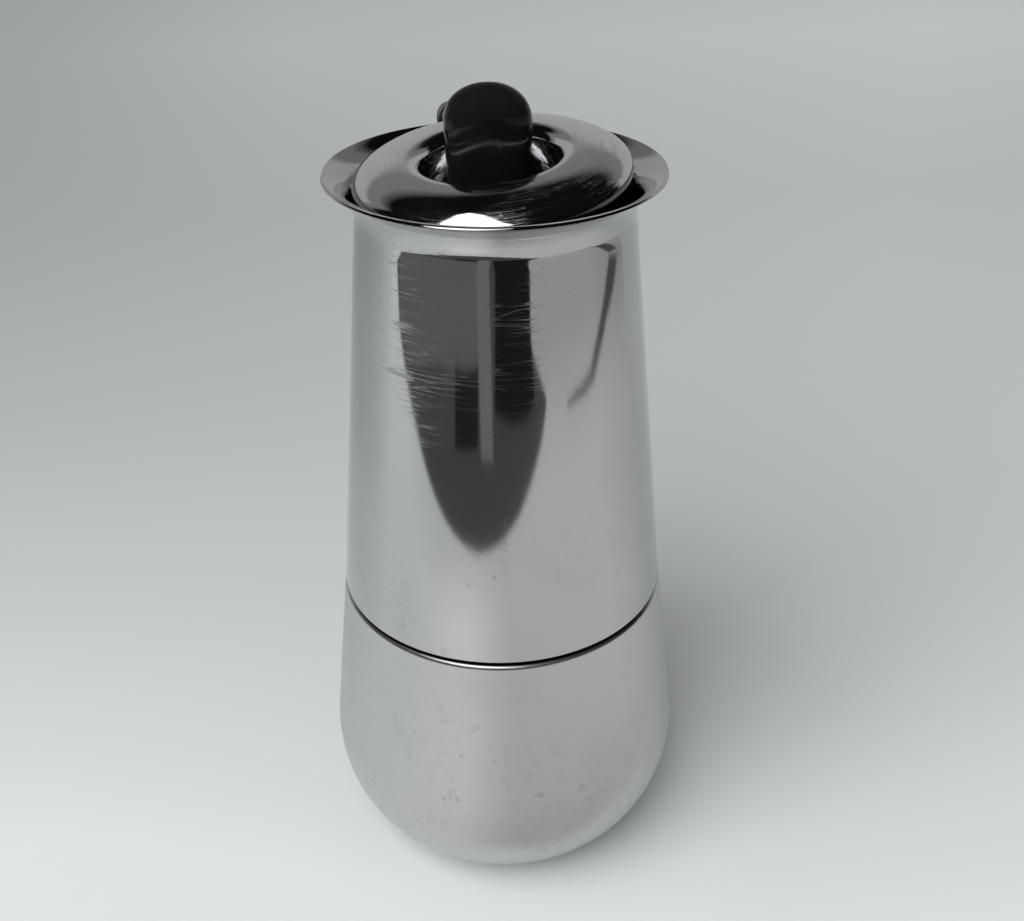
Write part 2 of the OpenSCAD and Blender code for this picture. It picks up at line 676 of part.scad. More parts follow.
module knob() {
  shoulder = knob_z1 - knob_arch_h;
  x = knob_w / 2 - knob_edge_r;
  y = knob_t / 2 - knob_edge_r;
  color("#131314") translate([-disc_shift, 0, 0]) difference() {
    hull() {
      for (sx = [-1, 1], sy = [-1, 1]) translate([sx * x, sy * y, 0]) {
        translate([0, 0, knob_z0]) cylinder(r = knob_edge_r, h = 1, $fn = hull_fn);
        translate([0, 0, shoulder]) sphere(r = knob_edge_r, $fn = hull_fn);
      }
      for (s = [-1, 1]) translate([s * x * 0.45, 0, knob_z1 - knob_t / 2]) sphere(r = knob_t / 2, $fn = hull_fn);
    }
    translate([0, 0, knob_z0 - touch]) cylinder(r = insert_r, h = insert_l + touch, $fn = small_fn);
  }
}

module knob_insert() {
  color("goldenrod") translate([-disc_shift, 0, knob_z0]) difference() {
    cylinder(r = insert_r, h = insert_l, $fn = small_fn);
    translate([0, 0, -touch]) cylinder(r = screw_r, h = insert_l - 1, $fn = small_fn);
  }
}

module knob_ferrule() {
  color("silver") translate([-disc_shift, 0, knob_z0 - ferrule_t]) difference() {
    cylinder(r = ferrule_r, h = ferrule_t, $fn = small_fn);
    translate([0, 0, -touch]) cylinder(r = screw_r, h = ferrule_t + 2 * touch, $fn = small_fn);
  }
}

washer_t = 0.8;
washer_z = under_floor - strap_t - washer_t - 2 * screw_r * tan(lid_pitch);

module knob_washer() {
  color("silver") translate([-disc_shift, 0, washer_z]) difference() {
    cylinder(r = 2 * screw_r, h = washer_t, $fn = small_fn);
    translate([0, 0, -touch]) cylinder(r = screw_r, h = washer_t + 2 * touch, $fn = small_fn);
  }
}

module knob_screw() {
  head_h = 1.2 * screw_r;
  color("lightgray") translate([-disc_shift, 0, washer_z]) difference() {
    union() {
      translate([0, 0, -head_h]) cylinder(r = 1.7 * screw_r, h = head_h, $fn = small_fn);
      translate([0, 0, -touch]) cylinder(r = screw_r, h = knob_z0 + insert_l - 2 - washer_z, $fn = small_fn);
    }
    translate([-2 * screw_r, -0.4, -head_h - touch]) cube([4 * screw_r, 0.8, 1]);
  }
}

boiler_shell();
boiler_neck();
valve_body();
valve_washer();
valve_nut();
valve_stem();
valve_spring();
funnel_basket();
basket_sieve();
funnel_stem();
gasket();
filter_plate();
collector_shell();
collector_floor();
thread_ring();
column();
column_cap();
handle_bracket();
handle_grip();
handle_screw();
hinge_pin();
lid_strap();
lid_disc();
knob();
knob_ferrule();
knob_insert();
knob_screw();
knob_washer();
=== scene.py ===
import math

import bmesh
import bpy
from mathutils import Matrix, Vector


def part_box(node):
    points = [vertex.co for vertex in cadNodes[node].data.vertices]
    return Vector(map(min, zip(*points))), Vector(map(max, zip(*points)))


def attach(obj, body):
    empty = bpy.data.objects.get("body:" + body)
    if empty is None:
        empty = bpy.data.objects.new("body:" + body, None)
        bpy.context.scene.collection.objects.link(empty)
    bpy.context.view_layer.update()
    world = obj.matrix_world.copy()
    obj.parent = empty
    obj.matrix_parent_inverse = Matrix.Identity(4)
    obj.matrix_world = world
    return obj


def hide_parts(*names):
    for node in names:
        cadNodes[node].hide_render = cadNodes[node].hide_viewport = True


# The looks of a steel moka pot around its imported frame: turned steel, moulded handle and
# knob, coil and perforations, then the studio that it stands in.
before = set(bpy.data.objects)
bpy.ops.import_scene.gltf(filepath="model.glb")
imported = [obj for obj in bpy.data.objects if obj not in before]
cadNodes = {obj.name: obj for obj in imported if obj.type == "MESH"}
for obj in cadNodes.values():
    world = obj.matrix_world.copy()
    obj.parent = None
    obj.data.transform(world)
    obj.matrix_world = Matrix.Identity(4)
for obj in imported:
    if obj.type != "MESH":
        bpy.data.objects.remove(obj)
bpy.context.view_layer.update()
mm = 0.001
print("frame loaded with", len(cadNodes), "nodes")


# Small helpers for node trees. A value may be a plain one or another node's output.

def wire(tree, source, target):
    tree.links.new(source, target)


def fill(tree, socket, value):
    if hasattr(value, "is_output"):
        tree.links.new(value, socket)
    else:
        socket.default_value = value


def addNode(tree, kind, **settings):
    # a setting that starts with in_ goes to an input socket, any other sets the node itself
    node = tree.nodes.new(kind)
    for key, value in settings.items():
        if key.startswith("in_"):
            fill(tree, node.inputs[key[3:].replace("_", " ")], value)
        else:
            setattr(node, key, value)
    return node


def calc(tree, operation, *operands):
    node = addNode(tree, "ShaderNodeMath", operation=operation)
    for slot, value in enumerate(operands):
        fill(tree, node.inputs[slot], value)
    return node.outputs[0]


def times(tree, first, *others):
    for other in others:
        first = calc(tree, "MULTIPLY", first, other)
    return first


def plus(tree, first, *others):
    for other in others:
        first = calc(tree, "ADD", first, other)
    return first


def minus(tree, first, second):
    return calc(tree, "SUBTRACT", first, second)


def remap(tree, value, low, high, outLow, outHigh):
    return addNode(tree, "ShaderNodeMapRange", in_Value=value, in_From_Min=low, in_From_Max=high,
        in_To_Min=outLow, in_To_Max=outHigh).outputs["Result"]


def noiseAt(tree, vector, scale, detail=3.0, roughness=0.55, distortion=0.0):
    return addNode(tree, "ShaderNodeTexNoise", in_Vector=vector, in_Scale=scale, in_Detail=detail,
        in_Roughness=roughness, in_Distortion=distortion).outputs["Fac"]


def dotsAt(tree, vector, scale):
    # distance to the nearest of many scattered dots
    return addNode(tree, "ShaderNodeTexVoronoi", feature="F1", in_Vector=vector,
        in_Scale=scale).outputs["Distance"]


def vectorMath(tree, operation, vector, second=None):
    node = addNode(tree, "ShaderNodeVectorMath", operation=operation)
    wire(tree, vector, node.inputs[0])
    if second is not None:
        fill(tree, node.inputs["Scale"] if operation == "SCALE" else node.inputs[1], second)
    return node.outputs["Value"] if operation in ("LENGTH", "DISTANCE") else node.outputs[0]


def mapped(tree, vector, **settings):
    return addNode(tree, "ShaderNodeMapping", **settings, in_Vector=vector).outputs[0]


def axesOf(tree, vector):
    split = addNode(tree, "ShaderNodeSeparateXYZ", in_Vector=vector)
    return split.outputs["X"], split.outputs["Y"], split.outputs["Z"]


def combined(tree, x=0.0, y=0.0, z=0.0):
    return addNode(tree, "ShaderNodeCombineXYZ", in_X=x, in_Y=y, in_Z=z).outputs[0]


def fromAxis(tree, x, y):
    # distance from the upright axis
    return calc(tree, "SQRT", plus(tree, calc(tree, "POWER", x, 2.0), calc(tree, "POWER", y, 2.0)))


def mixColor(tree, factor, low, high):
    low, high = ((*color, 1) if isinstance(color, tuple) else color for color in (low, high))
    return addNode(tree, "ShaderNodeMix", data_type="RGBA", in_Factor=factor, in_A=low,
        in_B=high).outputs["Result"]


def newTree(kind, name, inputs, outputs):
    # each input is (label, sort of socket, value), each output (label, sort of socket)
    tree = bpy.data.node_groups.new(name, kind)
    for label, sort, value in inputs:
        socket = tree.interface.new_socket(label, in_out="INPUT", socket_type="NodeSocket" + sort)
        if value is not None:
            socket.default_value = value
    for label, sort in outputs:
        tree.interface.new_socket(label, in_out="OUTPUT", socket_type="NodeSocket" + sort)
    return tree, tree.nodes.new("NodeGroupInput"), tree.nodes.new("NodeGroupOutput")


# Shader groups, shared by the steels.

# scratches follow the level lines of two slower noises, broken up by a third
turning = {
    "grainDetail": 4.0, "grainRough": 0.7,
    "sweeps": (
        {"turn": (0.035, -0.05, 0.4), "scale": (0.35, 0.35, 0.11), "detail": 1.0, "level": 0.5,
         "width": 0.02},
        {"turn": (-0.06, 0.045, 2.0), "scale": (0.5, 0.5, 0.17), "detail": 1.5, "level": 0.47,
         "width": 0.015}),
    "breakScale": 60.0, "breakRough": 0.6, "shown": (0.37, 0.62), "cloudScale": 38.0, "cloudSwirl": 0.4}


def makeTurningMarks():
    # Fine lines and scratches that run round the pot's axis, with soft cloudy patches
    t = turning
    group, start, end = newTree("ShaderNodeTree", "turningMarks",
        [("Vector", "Vector", None), ("Around", "Float", 6.0), ("Lines per metre", "Float", 900.0),
         ("Height share", "Float", 1.0), ("Radius share", "Float", 0.0)],
        [("Grain", "Float"), ("Scratches", "Float"), ("Clouds", "Float")])
    where = start.outputs["Vector"]
    flat = vectorMath(group, "MULTIPLY", where, (1, 1, 0))
    heading = vectorMath(group, "SCALE", vectorMath(group, "NORMALIZE", flat), start.outputs["Around"])
    along = plus(group, times(group, axesOf(group, where)[2], start.outputs["Height share"]),
        times(group, vectorMath(group, "LENGTH", flat), start.outputs["Radius share"]))
    lift = combined(group, z=times(group, along, start.outputs["Lines per metre"]))
    place = vectorMath(group, "ADD", heading, lift)
    lines = []
    for sweep in t["sweeps"]:
        tilted = mapped(group, place, in_Rotation=sweep["turn"], in_Scale=sweep["scale"])
        slow = noiseAt(group, tilted, 1.0, sweep["detail"], 0.5)
        off = calc(group, "ABSOLUTE", minus(group, slow, sweep["level"]))
        lines.append(remap(group, off, 0.0, sweep["width"], 1.0, 0.0))
    breaks = noiseAt(group, where, t["breakScale"], 2.0, t["breakRough"])
    shown = remap(group, breaks, *t["shown"], 0.0, 1.0)
    clouds = noiseAt(group, where, t["cloudScale"], distortion=t["cloudSwirl"])
    wire(group, noiseAt(group, place, 1.0, t["grainDetail"], t["grainRough"]), end.inputs["Grain"])
    wire(group, times(group, calc(group, "MAXIMUM", *lines), shown), end.inputs["Scratches"])
    wire(group, clouds, end.inputs["Clouds"])
    return group


stains = {"ringAt": 0.2, "ringWidth": 0.07, "ringShare": 0.5, "patchScale": 30.0, "patchRough": 0.6,
    "patchLevel": 0.85, "softScale": 260.0, "softRough": 0.65, "smudgeScale": 420.0, "smudgeRough": 0.7,
    "smudge": (0.55, 0.68), "speckScale": 900.0, "speck": (0.1, 0.2), "speckPatch": (0.5, 0.65)}


def makeStains():
    # Dried drops, small specks and dull spots, each as a mask from 0 to 1
    s = stains
    group, start, end = newTree("ShaderNodeTree", "driedSpots",
        [("Vector", "Vector", None), ("Spots per metre", "Float", 170.0), ("Cover", "Float", 0.3)],
        [("Spots", "Float"), ("Specks", "Float")])
    where = start.outputs["Vector"]
    drops = dotsAt(group, where, start.outputs["Spots per metre"])
    off = calc(group, "ABSOLUTE", minus(group, drops, s["ringAt"]))
    ring = remap(group, off, 0.0, s["ringWidth"], 1.0, 0.0)
    patch = noiseAt(group, where, s["patchScale"], 3.0, s["patchRough"])
    dried = calc(group, "GREATER_THAN", patch, minus(group, s["patchLevel"], start.outputs["Cover"]))
    soft = noiseAt(group, where, s["softScale"], 3.0, s["softRough"])
    smudge = noiseAt(group, where, s["smudgeScale"], 4.0, s["smudgeRough"])
    smudge = remap(group, smudge, *s["smudge"], 0.0, 1.0)
    marks = calc(group, "MAXIMUM", smudge, times(group, ring, soft, s["ringShare"]))
    wire(group, times(group, marks, dried), end.inputs["Spots"])
    specks = remap(group, dotsAt(group, where, s["speckScale"]), *s["speck"], 1.0, 0.0)
    wire(group, times(group, specks, remap(group, patch, *s["speckPatch"], 0.0, 1.0)), end.inputs["Specks"])
    return group


turningMarks = makeTurningMarks()
driedSpots = makeStains()


# Materials.

def newMaterial(name):
    material = bpy.data.materials.new(name)
    material.use_nodes = True
    tree = material.node_tree
    where = tree.nodes.new("ShaderNodeTexCoord").outputs["Object"]
    return material, tree, tree.nodes["Principled BSDF"], where


def bumpFrom(tree, shader, height, distance, strength):
    bump = addNode(tree, "ShaderNodeBump", in_Distance=distance, in_Strength=strength, in_Height=height)
    wire(tree, bump.outputs["Normal"], shader.inputs["Normal"])


def paintSeamShade(tree, where, surface, seamShade):
    # Painted shade in the seam groove between parts: near black inside a radius and past a height
    x, y, z = axesOf(tree, where)
    inside = remap(tree, fromAxis(tree, x, y), *seamShade["radius"], 1.0, 0.0)
    past = remap(tree, z, *seamShade["height"], 0.0, 1.0)
    return mixColor(tree, times(tree, inside, past), surface, seamShade["tint"])


def turnedSteel(name, look, placed=None):
    # Turned and polished sheet steel. placed is the (location, rotation) of the piece's own axis.
    material, tree, shader, where = newMaterial(name)
    shader.inputs["Metallic"].default_value = 1.0
    if placed:
        where = mapped(tree, where, vector_type="TEXTURE", in_Location=placed[0], in_Rotation=placed[1])
    marks = addNode(tree, "ShaderNodeGroup", node_tree=turningMarks, in_Vector=where,
        in_Around=look["around"], in_Lines_per_metre=look["linesPerMetre"],
        in_Height_share=look["heightShare"], in_Radius_share=look["radiusShare"])
    spots = addNode(tree, "ShaderNodeGroup", node_tree=driedSpots, in_Vector=where,
        in_Spots_per_metre=look["spotsPerMetre"], in_Cover=look["spotCover"])
    grain, scratches, clouds = (marks.outputs[label] for label in ("Grain", "Scratches", "Clouds"))
    x, y, z = axesOf(tree, where)
    stained = spots.outputs["Spots"]
    if "spotBand" in look:  # stains only gather in a band of height
        stained = times(tree, stained, remap(tree, z, *look["spotBand"], 1.0, 0.0))
    if "rubbed" in look:  # most scratches lie where a cloth has rubbed
        away = vectorMath(tree, "DISTANCE", where, look["rubbed"]["middle"])
        share = remap(tree, away, *look["rubbed"]["fade"], 1.0, look["rubbed"]["beyond"])
        scratches = times(tree, scratches, share)
    dull = times(tree, calc(tree, "MAXIMUM", stained, spots.outputs["Specks"]), look["spotDark"])
    surface = mixColor(tree, dull, mixColor(tree, clouds, look["dark"], look["light"]), look["spotTint"])
    # painted shade: the seam groove is darkened to near black
    if "seamShade" in look:
        surface = paintSeamShade(tree, where, surface, look["seamShade"])
    if "well" in look:  # painted shade: the lid's steel is darkened down in the well beside the knob
        out = remap(tree, fromAxis(tree, x, y), *look["well"], 0.0, 1.0)
        surface = mixColor(tree, out, look["wellTint"], surface)
    wire(tree, surface, shader.inputs["Base Color"])
    rough = plus(tree, remap(tree, clouds, *look["cloudSpan"], *look["rough"]),
        times(tree, scratches, look["scratchRough"]), times(tree, stained, look["spotRough"]),
        times(tree, minus(tree, grain, 0.5), look["grainRough"]))
    wire(tree, rough, shader.inputs["Roughness"])
    height = plus(tree, times(tree, grain, look["grainHeight"]),
        times(tree, scratches, -look["scratchHeight"]))
    bumpFrom(tree, shader, height, look["bumpDistance"], look["bumpStrength"])
    return material


steelLook = {
    "around": 2.2, "linesPerMetre": 5200.0, "heightShare": 1.0, "radiusShare": 0.0,
    "dark": (0.46, 0.465, 0.465), "light": (0.555, 0.56, 0.56), "cloudSpan": (0.3, 0.7),
    "rough": (0.045, 0.085), "scratchRough": 0.33, "grainRough": 0.04,
    "grainHeight": 0.25, "scratchHeight": 0.06, "bumpDistance": 0.00002, "bumpStrength": 0.16,
    "spotsPerMetre": 210.0, "spotCover": 0.33, "spotTint": (0.36, 0.36, 0.36), "spotDark": 0.38,
    "spotRough": 0.18}
collectorLook = dict(steelLook, spotBand=(0.082, 0.125),
    rubbed={"middle": (-0.018, -0.032, 0.158), "fade": (0.016, 0.034), "beyond": 0.05})
boilerLook = dict(steelLook, around=1.6, linesPerMetre=4200.0, dark=(0.50, 0.505, 0.505),
    light=(0.64, 0.645, 0.645), rough=(0.26, 0.40), scratchRough=0.05, grainRough=0.10,
    grainHeight=0.4, bumpStrength=0.14, spotCover=0.4, spotDark=0.16, spotBand=(0.05, 0.076),
    # painted shade on the boiler's shoulder inside the seam, under the collector's foot
    seamShade={"radius": (0.0396, 0.0399), "height": (0.0768, 0.0770), "tint": (0.012, 0.011, 0.010)})
lidLook = dict(steelLook, around=2.5, linesPerMetre=6500.0, heightShare=-1.0, radiusShare=1.0,
    dark=(0.60, 0.605, 0.61), light=(0.68, 0.685, 0.69), rough=(0.05, 0.10), scratchRough=0.32,
    grainRough=0.02, bumpStrength=0.22, spotCover=0.24, spotDark=0.35,
    # painted shade in the lid's well, inside these radii
    well=(0.0105, 0.0145), wellTint=(0.16, 0.16, 0.165))
insideLook = dict(steelLook, dark=(0.5, 0.5, 0.5), light=(0.6, 0.6, 0.6), rough=(0.22, 0.34), spotDark=0.2)
# painted shade on the threads' lowest millimetre, beside the seam, where the groove lies in shade
seamLook = dict(insideLook,
    seamShade={"radius": (0.060, 0.061), "height": (0.0808, 0.0796), "tint": (0.015, 0.014, 0.012)})

lid = {"radius": 30.0, "edgeZ": 180.2, "crestR": 17.9, "crestH": 4.5, "lipR": 3.2, "lipEnd": 70,
    "wellDepth": 9.0, "floorRound": 2.5, "band": 1.0, "sheet": 0.8, "hole": 3.5, "pitch": 4.5,
    "lean": 4.6, "shift": 0.7, "domeSteps": 40, "lipSteps": 14, "wallSteps": 8, "cornerSteps": 10,
    "floorSteps": 6, "segments": 256}
lidPlace = ((-lid["shift"] * mm, 0, lid["edgeZ"] * mm),
    (math.radians(lid["pitch"]), math.radians(-lid["lean"]), 0))

polishedSteel = turnedSteel("polishedSteel", collectorLook)
boilerSteel = turnedSteel("boilerSteel", boilerLook)
lidSteel = turnedSteel("lidSteel", lidLook, lidPlace)
insideSteel = turnedSteel("insideSteel", insideLook)
threadSteel = turnedSteel("threadSteel", seamLook)


bakelite = {"body": (0.0045, 0.0045, 0.005), "worn": (0.012, 0.012, 0.013), "ior": 1.5,
    "swirlScale": 160.0, "swirlRough": 0.6, "swirlBend": 1.2, "swirlShare": 0.6, "swirlSpan": (0.35, 0.7),
    "dustScale": 1100.0, "dust": (0.08, 0.16), "patchScale": 60.0, "dustPatch": (0.55, 0.7),
    "dustRough": 0.3, "fineScale": 900.0, "fineShare": 0.15, "bump": (0.00004, 0.25),
    "crown": (0.188, 0.195), "shine": 0.34, "sheen": 0.5, "sheenRough": 0.25,
    "polished": (0.08, 0.15), "satin": (0.22, 0.30)}


def makeBakelite(name, rough):
    # Glossy black moulding: near-black body, faint polishing swirls, dust and rubbed high spots
    b = bakelite
    material, tree, shader, where = newMaterial(name)
    swirl = noiseAt(tree, where, b["swirlScale"], 3.0, b["swirlRough"], b["swirlBend"])
    faint = times(tree, swirl, b["swirlShare"])
    dust = times(tree, remap(tree, dotsAt(tree, where, b["dustScale"]), *b["dust"], 1.0, 0.0),
        remap(tree, noiseAt(tree, where, b["patchScale"], 2.0), *b["dustPatch"], 0.0, 1.0))
    wire(tree, mixColor(tree, calc(tree, "MAXIMUM", faint, dust), b["body"], b["worn"]),
        shader.inputs["Base Color"])
    dulled = plus(tree, remap(tree, swirl, *b["swirlSpan"], *rough), times(tree, dust, b["dustRough"]))
    wire(tree, dulled, shader.inputs["Roughness"])
    shader.inputs["IOR"].default_value = b["ior"]
    # fingers have dulled the crown of the knob
    z = axesOf(tree, where)[2]
    wire(tree, remap(tree, z, *b["crown"], b["shine"], 0.0), shader.inputs["Specular IOR Level"])
    wire(tree, remap(tree, z, *b["crown"], 0.0, b["sheen"]), shader.inputs["Sheen Weight"])
    shader.inputs["Sheen Roughness"].default_value = b["sheenRough"]
    fine = times(tree, noiseAt(tree, where, b["fineScale"], 2.0), b["fineShare"])
    bumpFrom(tree, shader, plus(tree, faint, fine), *b["bump"])
    return material


brass = {"dark": (0.46, 0.32, 0.13), "light": (0.66, 0.48, 0.22), "tarnishScale": 190.0,
    "tarnishRough": 0.65, "tarnish": (0.35, 0.65), "shine": (0.3, 0.7, 0.38, 0.24), "toolScale": 420.0,
    "toolTurn": 40, "toolStretch": (9, 1, 1), "bump": (0.00004, 0.3)}


def makeBrass():
    material, tree, shader, where = newMaterial("machinedBrass")
    shader.inputs["Metallic"].default_value = 1.0
    tarnish = noiseAt(tree, where, brass["tarnishScale"], 4.0, brass["tarnishRough"])
    tone = mixColor(tree, remap(tree, tarnish, *brass["tarnish"], 0.0, 1.0), brass["dark"], brass["light"])
    wire(tree, tone, shader.inputs["Base Color"])
    wire(tree, remap(tree, tarnish, *brass["shine"]), shader.inputs["Roughness"])
    stretched = mapped(tree, where, in_Rotation=(0, 0, math.radians(brass["toolTurn"])),
        in_Scale=brass["toolStretch"])
    bumpFrom(tree, shader, noiseAt(tree, stretched, brass["toolScale"], 2.0), *brass["bump"])
    return material


rubber = {"wearScale": 120.0, "wearRough": 0.6, "wear": (0.35, 0.7), "rough": (0.3, 0.7, 0.62, 0.78),
    "grainScale": 1500.0, "grainRough": 0.7, "bump": (0.00005, 0.35),
    "seal": ((0.62, 0.58, 0.50), (0.80, 0.78, 0.72)), "fibre": ((0.22, 0.030, 0.022), (0.36, 0.06, 0.045))}


def makeRubber(name, dark, light):
    material, tree, shader, where = newMaterial(name)
    wear = noiseAt(tree, where, rubber["wearScale"], 4.0, rubber["wearRough"])
    tone = mixColor(tree, remap(tree, wear, *rubber["wear"], 0.0, 1.0), dark, light)
    wire(tree, tone, shader.inputs["Base Color"])
    wire(tree, remap(tree, wear, *rubber["rough"]), shader.inputs["Roughness"])
    grain = noiseAt(tree, where, rubber["grainScale"], 3.0, rubber["grainRough"])
    bumpFrom(tree, shader, grain, *rubber["bump"])
    return material


blackBakelite = makeBakelite("blackBakelite", bakelite["polished"])
wornBakelite = makeBakelite("wornBakelite", bakelite["satin"])  # a hand has rubbed the handle
machinedBrass = makeBrass()
sealRubber = makeRubber("sealRubber", *rubber["seal"])
redFibre = makeRubber("redFibre", *rubber["fibre"])
print("materials made")


# Geometry node trees.

def newShapeTree(name, inputs):
    inputs = [("Geometry", "Geometry", None), *inputs, ("Material", "Material", None)]
    return newTree("GeometryNodeTree", name, inputs, [("Geometry", "Geometry")])


def finishTree(tree, geometry, start, end):
    smooth = addNode(tree, "GeometryNodeSetShadeSmooth", in_Geometry=geometry)
    realize = addNode(tree, "GeometryNodeRealizeInstances", in_Geometry=smooth.outputs[0])
    paint = addNode(tree, "GeometryNodeSetMaterial", in_Geometry=realize.outputs[0],
        in_Material=start.outputs["Material"])
    wire(tree, paint.outputs[0], end.inputs["Geometry"])


def makeTurnTree():
    # Spins a closed profile, given as vertices (radius, 0, height), round +Z
    weldWithin = 0.000002
    tree, start, end = newShapeTree("turnProfile", [("Segments", "Int", 192)])
    profile, segments = start.outputs["Geometry"], start.outputs["Segments"]
    count = addNode(tree, "GeometryNodeAttributeDomainSize", component="MESH", in_Geometry=profile)
    around = plus(tree, segments, 1.0)
    grid = addNode(tree, "GeometryNodeMeshGrid", in_Vertices_X=count.outputs["Point Count"],
        in_Vertices_Y=around)
    index = addNode(tree, "GeometryNodeInputIndex").outputs[0]
    step = calc(tree, "MODULO", index, around)
    row = calc(tree, "FLOOR", calc(tree, "DIVIDE", plus(tree, index, 0.5), around))
    sample = addNode(tree, "GeometryNodeSampleIndex", data_type="FLOAT_VECTOR", domain="POINT",
        in_Geometry=profile, in_Value=addNode(tree, "GeometryNodeInputPosition").outputs[0], in_Index=row)
    radius, _, height = axesOf(tree, sample.outputs[0])
    angle = times(tree, calc(tree, "DIVIDE", step, segments), 2 * math.pi)
    place = combined(tree, times(tree, radius, calc(tree, "COSINE", angle)),
        times(tree, radius, calc(tree, "SINE", angle)), height)
    setPlace = addNode(tree, "GeometryNodeSetPosition", in_Geometry=grid.outputs["Mesh"], in_Position=place)
    merge = addNode(tree, "GeometryNodeMergeByDistance", in_Geometry=setPlace.outputs[0],
        in_Distance=weldWithin)
    finishTree(tree, merge.outputs[0], start, end)
    return tree


def makeCoilTree():
    # A round wire wound round +Z
    tree, start, end = newShapeTree("windCoil",
        [("Radius", "Float", 0.034), ("Pitch", "Float", 0.0024), ("Turns", "Float", 4.0),
         ("Wire radius", "Float", 0.0007), ("Points per turn", "Int", 72), ("Wire sides", "Int", 10)])
    given = start.outputs
    spiral = addNode(tree, "GeometryNodeCurveSpiral",
        in_Resolution=times(tree, given["Turns"], given["Points per turn"]), in_Rotations=given["Turns"],
        in_Start_Radius=given["Radius"], in_End_Radius=given["Radius"],
        in_Height=times(tree, given["Turns"], given["Pitch"]))
    ring = addNode(tree, "GeometryNodeCurvePrimitiveCircle", in_Resolution=given["Wire sides"],
        in_Radius=given["Wire radius"])
    sweep = addNode(tree, "GeometryNodeCurveToMesh", in_Curve=spiral.outputs[0],
        in_Profile_Curve=ring.outputs[0], in_Fill_Caps=True)
    finishTree(tree, sweep.outputs[0], start, end)
    return tree


rim = {"wire": 0.12, "holeSides": 14, "wireSides": 5}


def makeRimTree():
    # The small pressed rim round each hole of a perforated plate, in rings of 6, 12, 18 and so on
    tree, start, end = newShapeTree("pressHoleRims",
        [("Ring spacing", "Float", 0.004), ("Rings", "Int", 5), ("Hole radius", "Float", 0.0007),
         ("Rim wire", "Float", 0.00012), ("Height", "Float", 0.09)])
    given = start.outputs
    total = plus(tree, times(tree, given["Rings"], plus(tree, given["Rings"], 1.0), 3.0), 1.0)
    # the ring that hole number index lies on, and its share of the way round
    index = addNode(tree, "GeometryNodeInputIndex").outputs[0]
    root = calc(tree, "SQRT", plus(tree, times(tree, index, 12.0), 9.0))
    ring = calc(tree, "CEIL", minus(tree, calc(tree, "DIVIDE", minus(tree, root, 3.0), 6.0), 0.0001))
    before = times(tree, ring, minus(tree, ring, 1.0), 3.0)
    onRing = minus(tree, minus(tree, index, 1.0), before)
    turn = calc(tree, "DIVIDE", onRing, calc(tree, "MAXIMUM", ring, 1.0))
    angle = times(tree, turn, math.radians(60))
    reach = times(tree, ring, given["Ring spacing"])
    place = combined(tree, times(tree, reach, calc(tree, "COSINE", angle)),
        times(tree, reach, calc(tree, "SINE", angle)), given["Height"])
    points = addNode(tree, "GeometryNodePoints", in_Count=total, in_Position=place)
    loop = addNode(tree, "GeometryNodeCurvePrimitiveCircle", in_Resolution=rim["holeSides"],
        in_Radius=plus(tree, given["Hole radius"], given["Rim wire"]))
    section = addNode(tree, "GeometryNodeCurvePrimitiveCircle", in_Resolution=rim["wireSides"],
        in_Radius=given["Rim wire"])
    sweep = addNode(tree, "GeometryNodeCurveToMesh", in_Curve=loop.outputs[0],
        in_Profile_Curve=section.outputs[0])
    spread = addNode(tree, "GeometryNodeInstanceOnPoints", in_Points=points.outputs[0],
        in_Instance=sweep.outputs[0])
    finishTree(tree, spread.outputs[0], start, end)
    return tree


turnTree = makeTurnTree()
coilTree = makeCoilTree()
rimTree = makeRimTree()


# Meshes and pieces.

def addPiece(name, data):
    piece = bpy.data.objects.new(name, data)
    bpy.context.scene.collection.objects.link(piece)
    return piece


def evaluatedMesh(piece):
    depsgraph = bpy.context.evaluated_depsgraph_get()
    return bpy.data.meshes.new_from_object(piece.evaluated_get(depsgraph), depsgraph=depsgraph)


def grow(name, tree, values, points=((0, 0, 0),), matrix=None):
    # Runs a tree on a scratch object and keeps the result as a plain mesh at the origin
    source = bpy.data.meshes.new(name + "Source")
    source.from_pydata(points, [], [])
    scratch = addPiece(name + "Scratch", source)
    modifier = scratch.modifiers.new("grow", "NODES")
    modifier.node_group = tree
    for item in tree.interface.items_tree:
        if item.item_type == "SOCKET" and item.in_out == "INPUT" and item.name in values:
            modifier[item.identifier] = values[item.name]
    mesh = evaluatedMesh(scratch)
    mesh.name = name
    bpy.data.objects.remove(scratch)
    bpy.data.meshes.remove(source)
    if matrix is not None:
        mesh.transform(matrix)
    outward(mesh)
    return addPiece(name, mesh)


def outward(mesh):
    work = bmesh.new()
    work.from_mesh(mesh)
    bmesh.ops.recalc_face_normals(work, faces=work.faces)
    if work.calc_volume(signed=True) < 0:
        bmesh.ops.reverse_faces(work, faces=work.faces)
    work.to_mesh(mesh)
    work.free()


def joined(name, *pieces):
    # Puts several pieces of one body into one mesh
    work = bmesh.new()
    materials = []
    for piece in pieces:
        first = len(work.faces)
        work.from_mesh(piece.data)
        work.faces.ensure_lookup_table()
        for face in work.faces[first:]:
            material = piece.data.materials[face.material_index]
            if material not in materials:
                materials.append(material)
            face.material_index = materials.index(material)
    mesh = bpy.data.meshes.new(name)
    work.to_mesh(mesh)
    work.free()
    for material in materials:
        mesh.materials.append(material)
    for piece in pieces:
        bpy.data.objects.remove(piece)
    return addPiece(name, mesh)


# Profiles of turned sheet, in millimetres as (radius, height).

def arcPoints(middle, across, up, start, end, steps):
    # across and up are the arc's half width and half height, and the angles are in degrees
    angles = [math.radians(start + (end - start) * i / steps) for i in range(steps + 1)]
    return [(middle[0] + across * math.cos(a), middle[1] + up * math.sin(a)) for a in angles]


def straight(a, b, steps):
    return [(a[0] + (b[0] - a[0]) * i / steps, a[1] + (b[1] - a[1]) * i / steps) for i in range(steps)]


